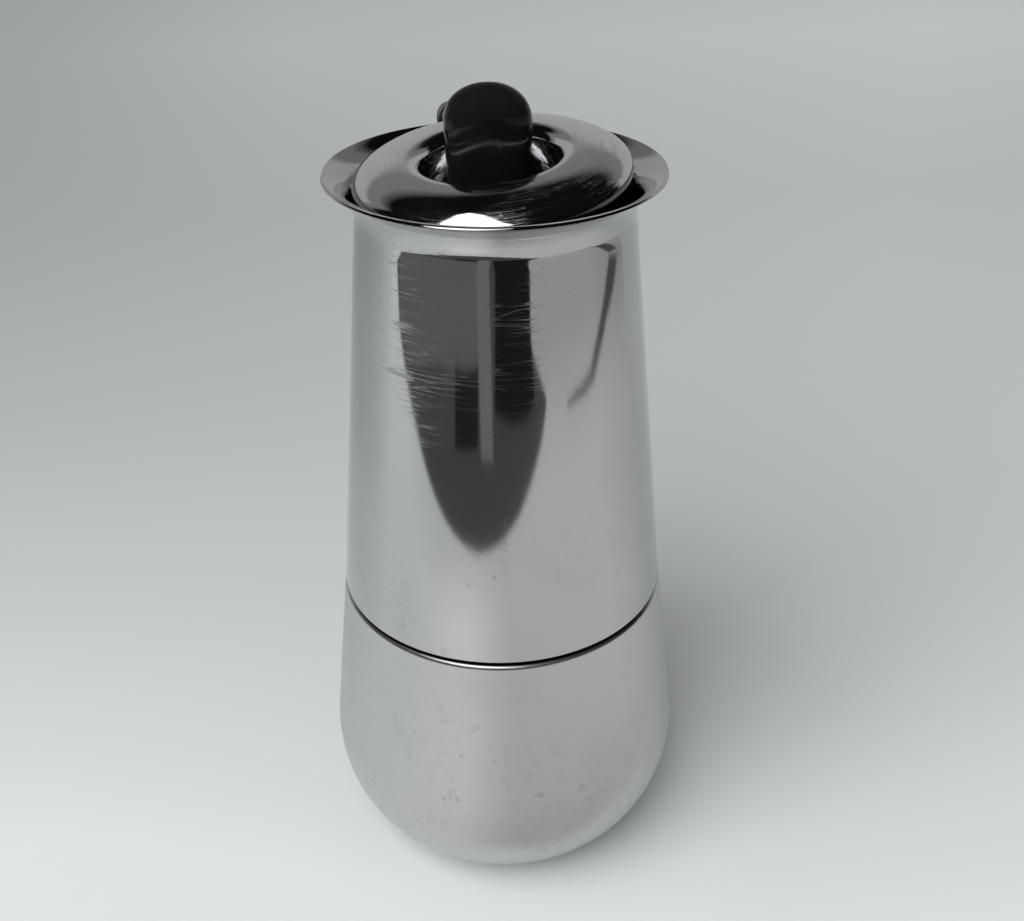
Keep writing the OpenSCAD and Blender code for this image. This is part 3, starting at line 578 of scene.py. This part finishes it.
def offsetPath(path, thickness):
    # The sheet's other face, to the right of travel
    far = []
    for i, (r, z) in enumerate(path):
        ahead, behind = path[min(i + 1, len(path) - 1)], path[max(i - 1, 0)]
        dr, dz = ahead[0] - behind[0], ahead[1] - behind[1]
        size = math.hypot(dr, dz)
        far.append((r + thickness * dz / size, z - thickness * dr / size))
    return far


sheetEnd = {"inset": 0.12, "bulge": 0.55, "steps": 5}


def justInside(a, b):
    # A point beside the sheet's end, so that its rounded edge is shaded by itself
    part = sheetEnd["inset"] / max(sheetEnd["inset"], math.dist(a, b))
    return a[0] + (b[0] - a[0]) * part, a[1] + (b[1] - a[1]) * part


def roundedEnd(a, b):
    # A flattened half circle from a to b
    middle = ((a[0] + b[0]) / 2, (a[1] + b[1]) / 2)
    r, z = a[0] - middle[0], a[1] - middle[1]
    points = []
    for k in range(1, sheetEnd["steps"]):
        along, out = math.cos(math.pi * k / sheetEnd["steps"]), math.sin(math.pi * k / sheetEnd["steps"])
        points.append((middle[0] + r * along + sheetEnd["bulge"] * z * out,
            middle[1] + z * along - sheetEnd["bulge"] * r * out))
    return points


def sheetLoop(path, thickness):
    # Closes a path into the section of a sheet with rounded ends
    path = [path[0], justInside(path[0], path[1]), *path[1:-1], justInside(path[-1], path[-2]), path[-1]]
    far = offsetPath(path, thickness)
    loop = path + roundedEnd(path[-1], far[-1]) + far[::-1] + roundedEnd(far[0], path[0])
    return loop + [loop[0]]


def spin(name, loop, material, segments, matrix=None):
    points = [(r * mm, 0, z * mm) for r, z in loop]
    return grow(name, turnTree, {"Segments": segments, "Material": material}, points, matrix)


collector = {"footR": 40.0, "footZ": 78.3, "throatR": 30.6, "throatZ": 172.0, "flareH": 8.6,
    "flareOut": 6.2, "sheet": 0.8, "wallSteps": 40, "flareSteps": 30, "segments": 256}


def makeCollector():
    c = collector
    curveR = (c["flareOut"] ** 2 + c["flareH"] ** 2) / (2 * c["flareOut"])
    sweep = math.degrees(math.asin(c["flareH"] / curveR))
    foot, throat = (c["footR"], c["footZ"]), (c["throatR"], c["throatZ"])
    middle = (c["throatR"] + curveR, c["throatZ"])
    flare = arcPoints(middle, curveR, curveR, 180, 180 - sweep, c["flareSteps"])
    loop = sheetLoop(straight(foot, throat, c["wallSteps"]) + flare, -c["sheet"])
    piece = spin("collectorWall", loop, polishedSteel, c["segments"])
    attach(piece, "collector")
    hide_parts("collector_shell")


makeCollector()

boiler = {"shoulderZ": 77.2, "shoulderR": 40.3, "neckR": 34.6, "edgeR": 1.2, "bellyR": 45.7, "bellyZ": 30.0,
    "baseR": 23.0, "dishRun": 4.0, "dishH": 0.28, "dishFlat": 8.0, "sheet": 1.0, "meetGuess": 8.0,
    "edgeSteps": 10, "wallSteps": 16, "shoulderSteps": 6, "bowlSteps": 56, "segments": 256}


def makeBoiler():
    b = boiler
    reach, rise = b["bellyR"] - b["baseR"], b["bellyZ"]
    edgeZ = b["shoulderZ"] - b["edgeR"]
    meet = b["meetGuess"]
    for _ in range(8):  # the angle at which the straight wall touches the bowl
        bowlR = b["baseR"] + reach * math.cos(math.radians(meet))
        wallH = edgeZ - b["bellyZ"] - rise * math.sin(math.radians(meet))
        meet = math.degrees(math.atan(rise / reach * (bowlR - b["shoulderR"]) / wallH))
    bowl = arcPoints((b["baseR"], b["bellyZ"]), reach, rise, meet, -90, b["bowlSteps"])
    edge = arcPoints((b["shoulderR"] - b["edgeR"], edgeZ), b["edgeR"], b["edgeR"], 90, 0, b["edgeSteps"])
    dish = [(b["baseR"] - b["dishRun"] * t, b["dishH"] * (1 - math.cos(math.pi * t)) / 2)
        for t in (0.25, 0.5, 0.75, 1.0)]
    path = straight((b["neckR"], b["shoulderZ"]), edge[0], b["shoulderSteps"]) + edge
    path += straight(edge[-1], bowl[0], b["wallSteps"])[1:] + bowl + dish
    path += [(b["dishFlat"], b["dishH"]), (0.0, b["dishH"])]
    inner = [(max(0.0, r), z) for r, z in offsetPath(path, b["sheet"])]
    inner[-1] = (0.0, b["dishH"] + b["sheet"])
    return spin("boilerWall", path + inner[::-1] + [path[0]], boilerSteel, b["segments"])


valve = {"angle": 50.0, "z": 52.0}
valveHeading = math.radians(90 - valve["angle"])


def alongValve(node):
    # How far out each corner of a solid lies along the safety valve's axis
    out = Vector((math.cos(valveHeading), math.sin(valveHeading), 0))
    return [Vector(corner.co).dot(out) for corner in cadNodes[node].data.vertices]


def valveMatrix(start):
    # Lays a piece that was made round +Z along the safety valve's axis, from start outwards
    return (Matrix.Rotation(valveHeading, 4, "Z") @ Matrix.Translation((start, 0, valve["z"] * mm))
        @ Matrix.Rotation(math.pi / 2, 4, "Y"))


pad = {"radius": 8.68, "bore": 4.9, "fillet": 0.7, "depth": 5.2, "filletSteps": 6, "segments": 64}


def makeValvePad():
    # The flat pad that the safety valve is screwed to, with a soft shoulder
    flat, fillet = pad["radius"] - pad["fillet"], pad["fillet"]
    loop = [(pad["bore"], 0.0), (flat, 0.0)]
    loop += arcPoints((flat, -fillet), fillet, fillet, 90, 0, pad["filletSteps"])
    loop += [(pad["radius"], -pad["depth"]), (pad["bore"], -pad["depth"]), (pad["bore"], 0.0)]
    face = min(alongValve("valve_washer"))
    return spin("valvePad", loop, boilerSteel, pad["segments"], valveMatrix(face))


boilerPiece = joined("boilerBody", makeBoiler(), makeValvePad())
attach(boilerPiece, "boiler")
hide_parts("boiler_shell")
print("collector and boiler turned")


# The lid's dictionary stands beside its steel, which reads its place.

def lidMatrix():
    place, turn = lidPlace
    return Matrix.Translation(place) @ Matrix.Rotation(turn[1], 4, "Y") @ Matrix.Rotation(turn[0], 4, "X")


def makeLid():
    d = lid
    outer = [(d["radius"], -d["band"]), (d["radius"], -d["band"] * 0.5)]
    dome = arcPoints((d["crestR"], 0.0), d["radius"] - d["crestR"], d["crestH"], 0, 90, d["domeSteps"])
    lip = arcPoints((d["crestR"], d["crestH"] - d["lipR"]), d["lipR"], d["lipR"], 90, 90 + d["lipEnd"],
        d["lipSteps"])
    rounding = d["floorRound"]
    corner = arcPoints((lip[-1][0] - rounding, rounding - d["wellDepth"]), rounding, rounding, 0, -90,
        d["cornerSteps"])
    hole = (d["hole"], -d["wellDepth"])
    path = outer + dome + lip[1:] + straight(lip[-1], corner[0], d["wallSteps"])[1:]
    path += corner + straight(corner[-1], hole, d["floorSteps"])[1:] + [hole]
    piece = spin("lidDisc", sheetLoop(path, -d["sheet"]), lidSteel, d["segments"], lidMatrix())
    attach(piece, "lid")
    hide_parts("lid_disc")


makeLid()

knob = {"halfWidth": 9.3, "halfDepth": 6.9, "top": 198.75, "archH": 7.6, "crownH": 5.6, "waist": 1.9,
    "taper": 0.7, "x": -1.3, "square": 2.5, "foot": 0.8, "archPower": 0.46, "taperPower": 1.6,
    "waistPower": 1.25, "tip": 0.02, "sides": 72, "bodySteps": 14, "archSteps": 26}


def knobSize(z, low):
    # Half width, half depth and squareness at a height: an arch seen from the front, and seen from
    # the side a rounded crown above a waist
    k = knob
    shoulder, crown = k["top"] - k["archH"], k["top"] - k["crownH"]
    arch = max(0.0, (z - shoulder) / k["archH"])
    dome = max(0.0, (z - crown) / k["crownH"])
    sunk = max(0.0, (crown - z) / (crown - low))
    width = k["halfWidth"] - k["taper"] * sunk ** k["taperPower"]
    width *= max(0.0, 1 - arch ** 2) ** k["archPower"]
    depth = k["halfDepth"] - k["waist"] * sunk ** k["waistPower"]
    depth *= math.sqrt(max(0.0, 1 - dome ** 2))
    return max(width, k["tip"]), max(depth, k["tip"]), k["square"] - (k["square"] - 2.0) * arch ** 2


def ringPoint(angle, halfWidth, halfDepth, square):
    c, s = math.cos(angle), math.sin(angle)
    power = 2 / square
    return halfWidth * math.copysign(abs(c) ** power, c), halfDepth * math.copysign(abs(s) ** power, s)


def knobRings():
    k = knob
    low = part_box("knob")[0].z / mm
    shoulder, foot = k["top"] - k["archH"], k["foot"]
    rings = []
    for share in (0.0, 0.3, 0.6):  # the rounded foot
        width, depth, square = knobSize(low, low)
        tuck = foot * (1 - math.sin(share * math.pi / 2))
        rings.append((low + foot * (1 - math.cos(share * math.pi / 2)), width - tuck, depth - tuck, square))
    body = [low + foot + (shoulder - low - foot) * i / k["bodySteps"] for i in range(k["bodySteps"])]
    arch = [shoulder + k["archH"] * math.sin(math.radians(90 * i / k["archSteps"]))
        for i in range(k["archSteps"] + 1)]
    return rings + [(z, *knobSize(z, low)) for z in body + arch]


def makeKnob():
    sides = knob["sides"]
    work = bmesh.new()
    loops = []
    for z, width, depth, square in knobRings():
        around = [ringPoint(2 * math.pi * i / sides, width, depth, square) for i in range(sides)]
        loops.append([work.verts.new(((x + knob["x"]) * mm, y * mm, z * mm)) for x, y in around])
    for lower, upper in zip(loops, loops[1:]):
        for i in range(sides):
            j = (i + 1) % sides
            work.faces.new((lower[i], lower[j], upper[j], upper[i]))
    work.faces.new(loops[0][::-1])
    work.faces.new(loops[-1])
    bmesh.ops.recalc_face_normals(work, faces=work.faces)
    mesh = bpy.data.meshes.new("knobGrip")
    work.to_mesh(mesh)
    work.free()
    mesh.materials.append(blackBakelite)
    mesh.polygons.foreach_set("use_smooth", [True] * len(mesh.polygons))
    piece = addPiece("knobGrip", mesh)
    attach(piece, "lid")
    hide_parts("knob")


makeKnob()
print("lid and knob made")


# Pieces finished from copies of their solids.

weld = {"merge": 0.000001, "sliver": 0.0000005}


def mergedCopy(node, name):
    mesh = cadNodes[node].data.copy()
    mesh.name = name
    work = bmesh.new()
    work.from_mesh(mesh)
    bmesh.ops.remove_doubles(work, verts=work.verts, dist=weld["merge"])
    bmesh.ops.dissolve_degenerate(work, edges=work.edges, dist=weld["sliver"])
    work.to_mesh(mesh)
    work.free()
    mesh.materials.clear()
    return addPiece(name, mesh)


def applyModifiers(piece):
    mesh = evaluatedMesh(piece)
    piece.modifiers.clear()
    piece.data = mesh


def takeOver(piece, node, body, material):
    piece.data.materials.clear()
    piece.data.materials.append(material)
    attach(piece, body)
    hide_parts(node)


# the bow is smoothed more than the lugs, which stay crisp up to "lugFoot" and "lugBack"
handle = {"voxel": 0.5, "smooth": 10, "bowSmooth": 60, "factor": 0.5, "lugFoot": 172.0, "lugBack": 48.0,
    "blend": 6.0}


def makeHandle():
    # The moulded grip: every edge of the solid melts into a soft moulding radius
    piece = mergedCopy("handle_grip", "handleGrip")
    remesh = piece.modifiers.new("mould", "REMESH")
    remesh.mode = "VOXEL"
    remesh.voxel_size = handle["voxel"] * mm
    remesh.use_smooth_shade = True
    applyModifiers(piece)
    bow = piece.vertex_groups.new(name="bow")
    for vertex in piece.data.vertices:
        below = (handle["lugFoot"] - vertex.co.z / mm) / handle["blend"]
        behind = (vertex.co.y / mm - handle["lugBack"]) / handle["blend"]
        bow.add([vertex.index], min(max(below, behind, 0.0), 1.0), "REPLACE")
    for name, steps in (("soften", "smooth"), ("flow", "bowSmooth")):
        soften = piece.modifiers.new(name, "SMOOTH")
        soften.factor = handle["factor"]
        soften.iterations = handle[steps]
        if name == "flow":
            soften.vertex_group = bow.name
    applyModifiers(piece)
    outward(piece.data)
    takeOver(piece, "handle_grip", "collector", wornBakelite)


makeHandle()

brokenEdge = {"flat": 0.6, "angle": 32, "segments": 2}  # angles in degrees


def makeBevelled(node, name, body, slot, material, width):
    # A machined or stamped piece: its sharp edges get a small broken edge
    piece = mergedCopy(node, name)
    work = bmesh.new()
    work.from_mesh(piece.data)
    bmesh.ops.dissolve_limit(work, angle_limit=math.radians(brokenEdge["flat"]), verts=work.verts,
        edges=work.edges)
    work.to_mesh(piece.data)
    work.free()
    bevel = piece.modifiers.new("brokenEdge", "BEVEL")
    bevel.width = width * mm
    bevel.segments = brokenEdge["segments"]
    bevel.limit_method = "ANGLE"
    bevel.angle_limit = math.radians(brokenEdge["angle"])
    bevel.harden_normals = True
    piece.data.polygons.foreach_set("use_smooth", [True] * len(piece.data.polygons))
    applyModifiers(piece)
    takeOver(piece, node, body, material)


bevelledPieces = [
    ("lid_strap", "lidStrap", "lid", "steel_polished", polishedSteel, 0.15),
    ("handle_bracket", "handleBracket", "collector", "steel_polished", polishedSteel, 0.25),
    ("valve_body", "valveBody", "boiler", "brass", machinedBrass, 0.3),
    ("valve_nut", "valveNut", "boiler", "brass", machinedBrass, 0.25),
    ("knob_screw", "knobScrew", "lid", "steel_inner", insideSteel, 0.12),
    ("knob_washer", "knobWasher", "lid", "steel_inner", insideSteel, 0.1),
    ("handle_screw", "handleScrew", "collector", "steel_inner", insideSteel, 0.12),
]
for entry in bevelledPieces:
    makeBevelled(*entry)
print("handle moulded and small parts bevelled")

spring = {"radius": 2.25, "wire": 0.3, "turns": 5.0, "pointsPerTurn": 40, "wireSides": 10}


def makeSpring():
    along = alongValve("valve_spring")
    first, last = min(along) + spring["wire"] * mm, max(along) - spring["wire"] * mm
    piece = grow("valveSpring", coilTree, {"Radius": spring["radius"] * mm,
        "Pitch": (last - first) / spring["turns"], "Turns": spring["turns"],
        "Wire radius": spring["wire"] * mm, "Points per turn": spring["pointsPerTurn"],
        "Wire sides": spring["wireSides"], "Material": insideSteel}, matrix=valveMatrix(first))
    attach(piece, "boiler")
    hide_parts("valve_spring")


makeSpring()


def makeRims(name, node, body, spacing, rings, hole):
    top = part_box(node)[1].z
    piece = grow(name, rimTree, {"Ring spacing": spacing * mm, "Rings": rings, "Hole radius": hole * mm,
        "Rim wire": rim["wire"] * mm, "Height": top, "Material": insideSteel})
    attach(piece, body)


plates = [  # the last three are the spacing, the number of rings and the radius of a hole
    ("filterHoleRims", "filter_plate", "gasket_set", 4.0, 5, 0.7),
    ("sieveHoleRims", "basket_sieve", "funnel", 4.6, 6, 0.8),
]
for plate in plates:
    makeRims(*plate)

# solids that stay as they are, with their finish
keptFinish = {
    insideSteel: ("valve_stem", "funnel_basket", "basket_sieve", "funnel_stem", "filter_plate",
        "collector_floor", "column", "column_cap", "hinge_pin"),
    threadSteel: ("boiler_neck", "thread_ring"),
    sealRubber: ("gasket",), redFibre: ("valve_washer",), machinedBrass: ("knob_insert",),
    lidSteel: ("knob_ferrule",)}
for material, names in keptFinish.items():
    for name in names:
        cadNodes[name].data.materials.clear()
        cadNodes[name].data.materials.append(material)
print("small parts finished")


# The studio. The floor's colour holds painted light: it pales towards the viewer, by base + rise * exp(-(y
# + start) / fade), and goes from the left curve to the right one as it turns about the point at viewerX,
#   viewerY.
studio = {
    "left": {"base": 0.31, "rise": 0.42, "fade": 0.20}, "right": {"base": 0.48, "rise": 0.14, "fade": 0.09},
    "start": 0.037, "brightest": 0.68, "tint": (0.965, 1.0, 1.01), "rough": 0.9, "shine": 0.1,
    "viewerX": -0.019, "viewerY": -0.243, "nearest": 0.05, "turn": (-0.45, 0.45),
    "nearBand": (-0.32, -0.12), "nearShade": 0.7, "farBand": (0.5, 1.0), "farPaintedLight": 0.25,
    "farTurn": (0.0, 0.4), "size": 6.0}


def plane(name, corners, material):
    mesh = bpy.data.meshes.new(name)
    mesh.from_pydata(corners, [], [list(range(len(corners)))])
    mesh.materials.append(material)
    piece = addPiece(name, mesh)
    return piece


def makeFloor():
    s = studio
    material, tree, shader, where = newMaterial("paleFloorPaintedLight")
    shader.inputs["Roughness"].default_value = s["rough"]
    shader.inputs["Specular IOR Level"].default_value = s["shine"]
    x, y, _ = axesOf(tree, where)
    levels = []
    for side in ("left", "right"):
        curve = s[side]
        away = times(tree, plus(tree, y, s["start"]), -1 / curve["fade"])
        levels.append(plus(tree, times(tree, calc(tree, "EXPONENT", away), curve["rise"]), curve["base"]))
    depth = calc(tree, "MAXIMUM", plus(tree, y, -s["viewerY"]), s["nearest"])
    across = remap(tree, calc(tree, "DIVIDE", plus(tree, x, -s["viewerX"]), depth), *s["turn"], 0.0, 1.0)
    level = plus(tree, times(tree, levels[0], minus(tree, 1.0, across)), times(tree, levels[1], across))
    # painted shadow: the floor darkens to nearShade beyond nearBand, on the viewer's side
    near = remap(tree, y, *s["nearBand"], s["nearShade"], 1.0)
    # painted light: the far floor towards the right is lightened
    shine = times(tree, remap(tree, y, *s["farBand"], 0.0, s["farPaintedLight"]),
        remap(tree, across, *s["farTurn"], 0.0, 1.0))
    level = times(tree, calc(tree, "MINIMUM", level, s["brightest"]), near, plus(tree, shine, 1.0))
    wire(tree, mixColor(tree, level, (0, 0, 0), s["tint"]), shader.inputs["Base Color"])
    size = s["size"]
    plane("floor", [(-size, -size, 0), (size, -size, 0), (size, size, 0), (-size, size, 0)], material)


def glowMaterial(name, color):
    material = bpy.data.materials.new(name)
    material.use_nodes = True
    tree = material.node_tree
    tree.nodes.remove(tree.nodes["Principled BSDF"])
    glow = addNode(tree, "ShaderNodeEmission", in_Color=(*color, 1), in_Strength=1.0)
    wire(tree, glow.outputs[0], tree.nodes["Material Output"].inputs["Surface"])
    return material


def glossOnly(piece):
    # A card that only shows in reflections
    for ray in ("camera", "diffuse", "shadow", "transmission", "volume_scatter"):
        setattr(piece, "visible_" + ray, False)


def addCard(name, level, height, outline):
    cool = 1.02  # the room's light is a touch blue
    material = glowMaterial(name, (level, level, level * cool))
    glossOnly(plane(name, [(x * mm, y * mm, height * mm) for x, y in outline], material))


makeFloor()

# what the steel mirrors: (name, level, height, outline), in millimetres on the table
cards = [
    ("tableEdgeCard", 0.082, 0.4, [(-752, -50), (-556, -78), (-355, -168), (-203, -218), (-87, -256),
        (42, -311), (180, -378), (236, -418), (228, -476), (207, -574), (222, -640), (330, -885),
        (520, -1400), (2200, -5900), (-5900, -5900), (-5900, -20)]),
    ("leftRoomCard", 0.16, 0.5, [(-1400, -60), (-560, -90), (-480, -160), (-455, -270), (-405, -375),
        (-190, -550), (-221, -646), (-420, -1300), (-1400, -1400)]),
    ("darkPatchCard", 0.022, 0.6, [(-330, -455), (-188, -540), (-137, -385), (-232, -323)]),
    ("farRoomCard", 0.02, 0.4, [(480, -1250), (5900, -1250), (5900, -5900), (2200, -5900), (520, -1400)]),
    ("darkBandCard", 0.013, 0.6, [(-65, -470), (30, -450), (110, -440), (170, -455), (207, -574),
        (222, -640), (330, -885), (520, -1400), (-160, -1400), (-98, -973), (-79, -683)]),
    ("streakCard", 0.21, 0.8, [(-118, -372), (-62, -384), (-69, -419), (-106, -617), (-171, -945),
        (-240, -1300), (-420, -1300), (-325, -895), (-203, -588), (-128, -404)]),
    ("rightEdgeCard", 0.085, 0.4, [(684, 22), (646, -23), (544, -121), (485, -170), (435, -200),
        (368, -282), (316, -326), (312, -318), (356, -268), (420, -168), (470, -128), (534, -59),
        (594, 77), (628, 136)]),
]
for card in cards:
    addCard(*card)

# each band is (from, to, value at from, value at to): near, far and windowReach in metres from the
# pot's axis, the others by direction
shade = {"near": (0.07, 0.16, 0.50, 0.70), "far": (0.35, 0.62, 0.0, 0.20), "side": (-0.35, 0.2, 0.0, 0.13),
    "window": (-0.42, -0.02, 0.26, 0.0), "windowReach": (0.20, 0.34, 1.0, 0.0),
    "rightEnd": (-0.2, 0.05, 0.0, 1.0), "leftEnd": (-0.93, -0.6, 0.0, 1.0), "tint": (0.985, 1.0, 0.972),
    "height": 0.2, "outline": [(-1400, -560), (-60, -26), (-8, -52), (60, -42), (110, 0), (260, 60),
        (700, 260), (1400, 400), (1400, -1400), (-1400, -1400)]}


def makeTableShade():
    # The table as the steel sees it: pale towards the window on the left, in half shade on the right
    material = glowMaterial("tableShade", (1, 1, 1))
    tree = material.node_tree
    where = tree.nodes.new("ShaderNodeTexCoord").outputs["Object"]
    reach = vectorMath(tree, "LENGTH", where)
    x, y, _ = axesOf(tree, where)
    aside = calc(tree, "DIVIDE", x, reach)
    back = calc(tree, "DIVIDE", y, reach)
    close = remap(tree, reach, *shade["windowReach"])
    level = minus(tree, remap(tree, reach, *shade["near"]), remap(tree, reach, *shade["far"]))
    level = minus(tree, level, remap(tree, back, *shade["side"]))
    level = plus(tree, level, times(tree, remap(tree, aside, *shade["window"]), close))
    glow = tree.nodes["Emission"]
    wire(tree, mixColor(tree, level, (0, 0, 0), shade["tint"]), glow.inputs["Color"])
    cover = calc(tree, "MAXIMUM", remap(tree, aside, *shade["rightEnd"]),
        times(tree, remap(tree, aside, *shade["leftEnd"]), close))
    mix = addNode(tree, "ShaderNodeMixShader")
    wire(tree, cover, mix.inputs[0])
    wire(tree, addNode(tree, "ShaderNodeBsdfTransparent").outputs[0], mix.inputs[1])
    wire(tree, glow.outputs[0], mix.inputs[2])
    wire(tree, mix.outputs[0], tree.nodes["Material Output"].inputs["Surface"])
    corners = [(x * mm, y * mm, shade["height"] * mm) for x, y in shade["outline"]]
    glossOnly(plane("tableShade", corners, material))


makeTableShade()

# a pale opening overhead; its outline is in steps of "spread" millimetres
skylight = {"height": 2180.0, "level": 2.6, "spread": 2000, "outline": [(-0.95, -0.60), (-0.76, -0.35),
    (-0.40, 0.06), (-0.285, 0.245), (-0.20, 0.30), (-0.145, 0.15), (-0.105, -0.16), (-0.045, -0.62),
    (0.15, -1.30), (0.20, -1.60), (-1.0, -1.60)]}
addCard("skylightCard", skylight["level"], skylight["height"],
    [(x * skylight["spread"], y * skylight["spread"]) for x, y in skylight["outline"]])

# reflected directions: "sweep" is how far behind the pot a direction points, "top" how high
room = {"fill": (0.36, 0.3636, 0.3672), "dark": (0.0045, 0.0045, 0.005), "pale": (0.42, 0.43, 0.44),
    "sweep": (0.56, 0.66), "sweepTop": (0.41, 0.52), "sweepLean": (-0.2, 0.2, 0.0, 0.24),
    "wall": (0.44, 0.54, 0.0, 0.5), "wallTop": (0.58, 0.68)}


def makeWorld():
    # Even grey light on the object; reflections see a dark room with a pale sweep behind the pot
    world = bpy.data.worlds.new("studioWorld")
    bpy.context.scene.world = world
    world.use_nodes = True
    tree = world.node_tree
    background = tree.nodes["Background"]
    glossy = tree.nodes.new("ShaderNodeLightPath").outputs["Is Glossy Ray"]
    x, y, z = axesOf(tree, tree.nodes.new("ShaderNodeTexCoord").outputs["Generated"])
    # 1 straight behind the pot, -1 on the viewer's side
    behind = calc(tree, "DIVIDE", y, calc(tree, "MAXIMUM", fromAxis(tree, x, y), 0.001))
    leaning = plus(tree, behind, remap(tree, x, *room["sweepLean"]))
    sweep = times(tree, remap(tree, leaning, *room["sweep"], 0.0, 1.0),
        remap(tree, z, *room["sweepTop"], 1.0, 0.0))
    wall = times(tree, remap(tree, behind, *room["wall"]), remap(tree, z, *room["wallTop"], 1.0, 0.0))
    seen = mixColor(tree, calc(tree, "MAXIMUM", sweep, wall), room["dark"], room["pale"])
    wire(tree, mixColor(tree, glossy, room["fill"], seen), background.inputs["Color"])
    background.inputs["Strength"].default_value = 1.0


makeWorld()

window = {"place": (-2.2, -2.3, 3.7), "target": (0, 0, 0.05), "size": 4.4, "power": 300.0}


def makeWindowLight():
    data = bpy.data.lights.new("softWindow", "AREA")
    data.shape = "RECTANGLE"
    data.size = data.size_y = window["size"]
    data.energy = window["power"]
    lamp = addPiece("softWindow", data)
    lamp.location = window["place"]
    aim = Vector(window["target"]) - Vector(window["place"])
    lamp.rotation_euler = aim.to_track_quat("-Z", "Y").to_euler()
    lamp.visible_glossy = False


makeWindowLight()
print("studio lit")

camera = {"place": (-19.1, -242.85, 256.8), "pitch": 31.39, "roll": -0.71, "yaw": 0.67, "turn": 4.5,
    "lens": 40.957, "sensor": 36.0, "nearest": 0.01, "farthest": 50.0}


def makeCamera():
    pitch, roll, yaw, turn = (math.radians(camera[key]) for key in ("pitch", "roll", "yaw", "turn"))
    forward = Vector((math.sin(yaw) * math.cos(pitch), math.cos(yaw) * math.cos(pitch), -math.sin(pitch)))
    right = Vector((math.cos(yaw), -math.sin(yaw), 0))
    up = right.cross(forward)
    sideways = right * math.cos(roll) + up * math.sin(roll)
    upwards = up * math.cos(roll) - right * math.sin(roll)
    turned = Matrix.Rotation(-turn, 3, "Z")
    data = bpy.data.cameras.new("viewCamera")
    data.sensor_width = camera["sensor"]
    data.lens = camera["lens"]
    data.clip_start = camera["nearest"]
    data.clip_end = camera["farthest"]
    eye = addPiece("viewCamera", data)
    matrix = Matrix((turned @ sideways, turned @ upwards, turned @ -forward)).transposed().to_4x4()
    matrix.translation = Vector(camera["place"]) * mm
    eye.matrix_world = matrix
    bpy.context.scene.camera = eye


makeCamera()
bpy.context.scene.view_settings.view_transform = "Standard"
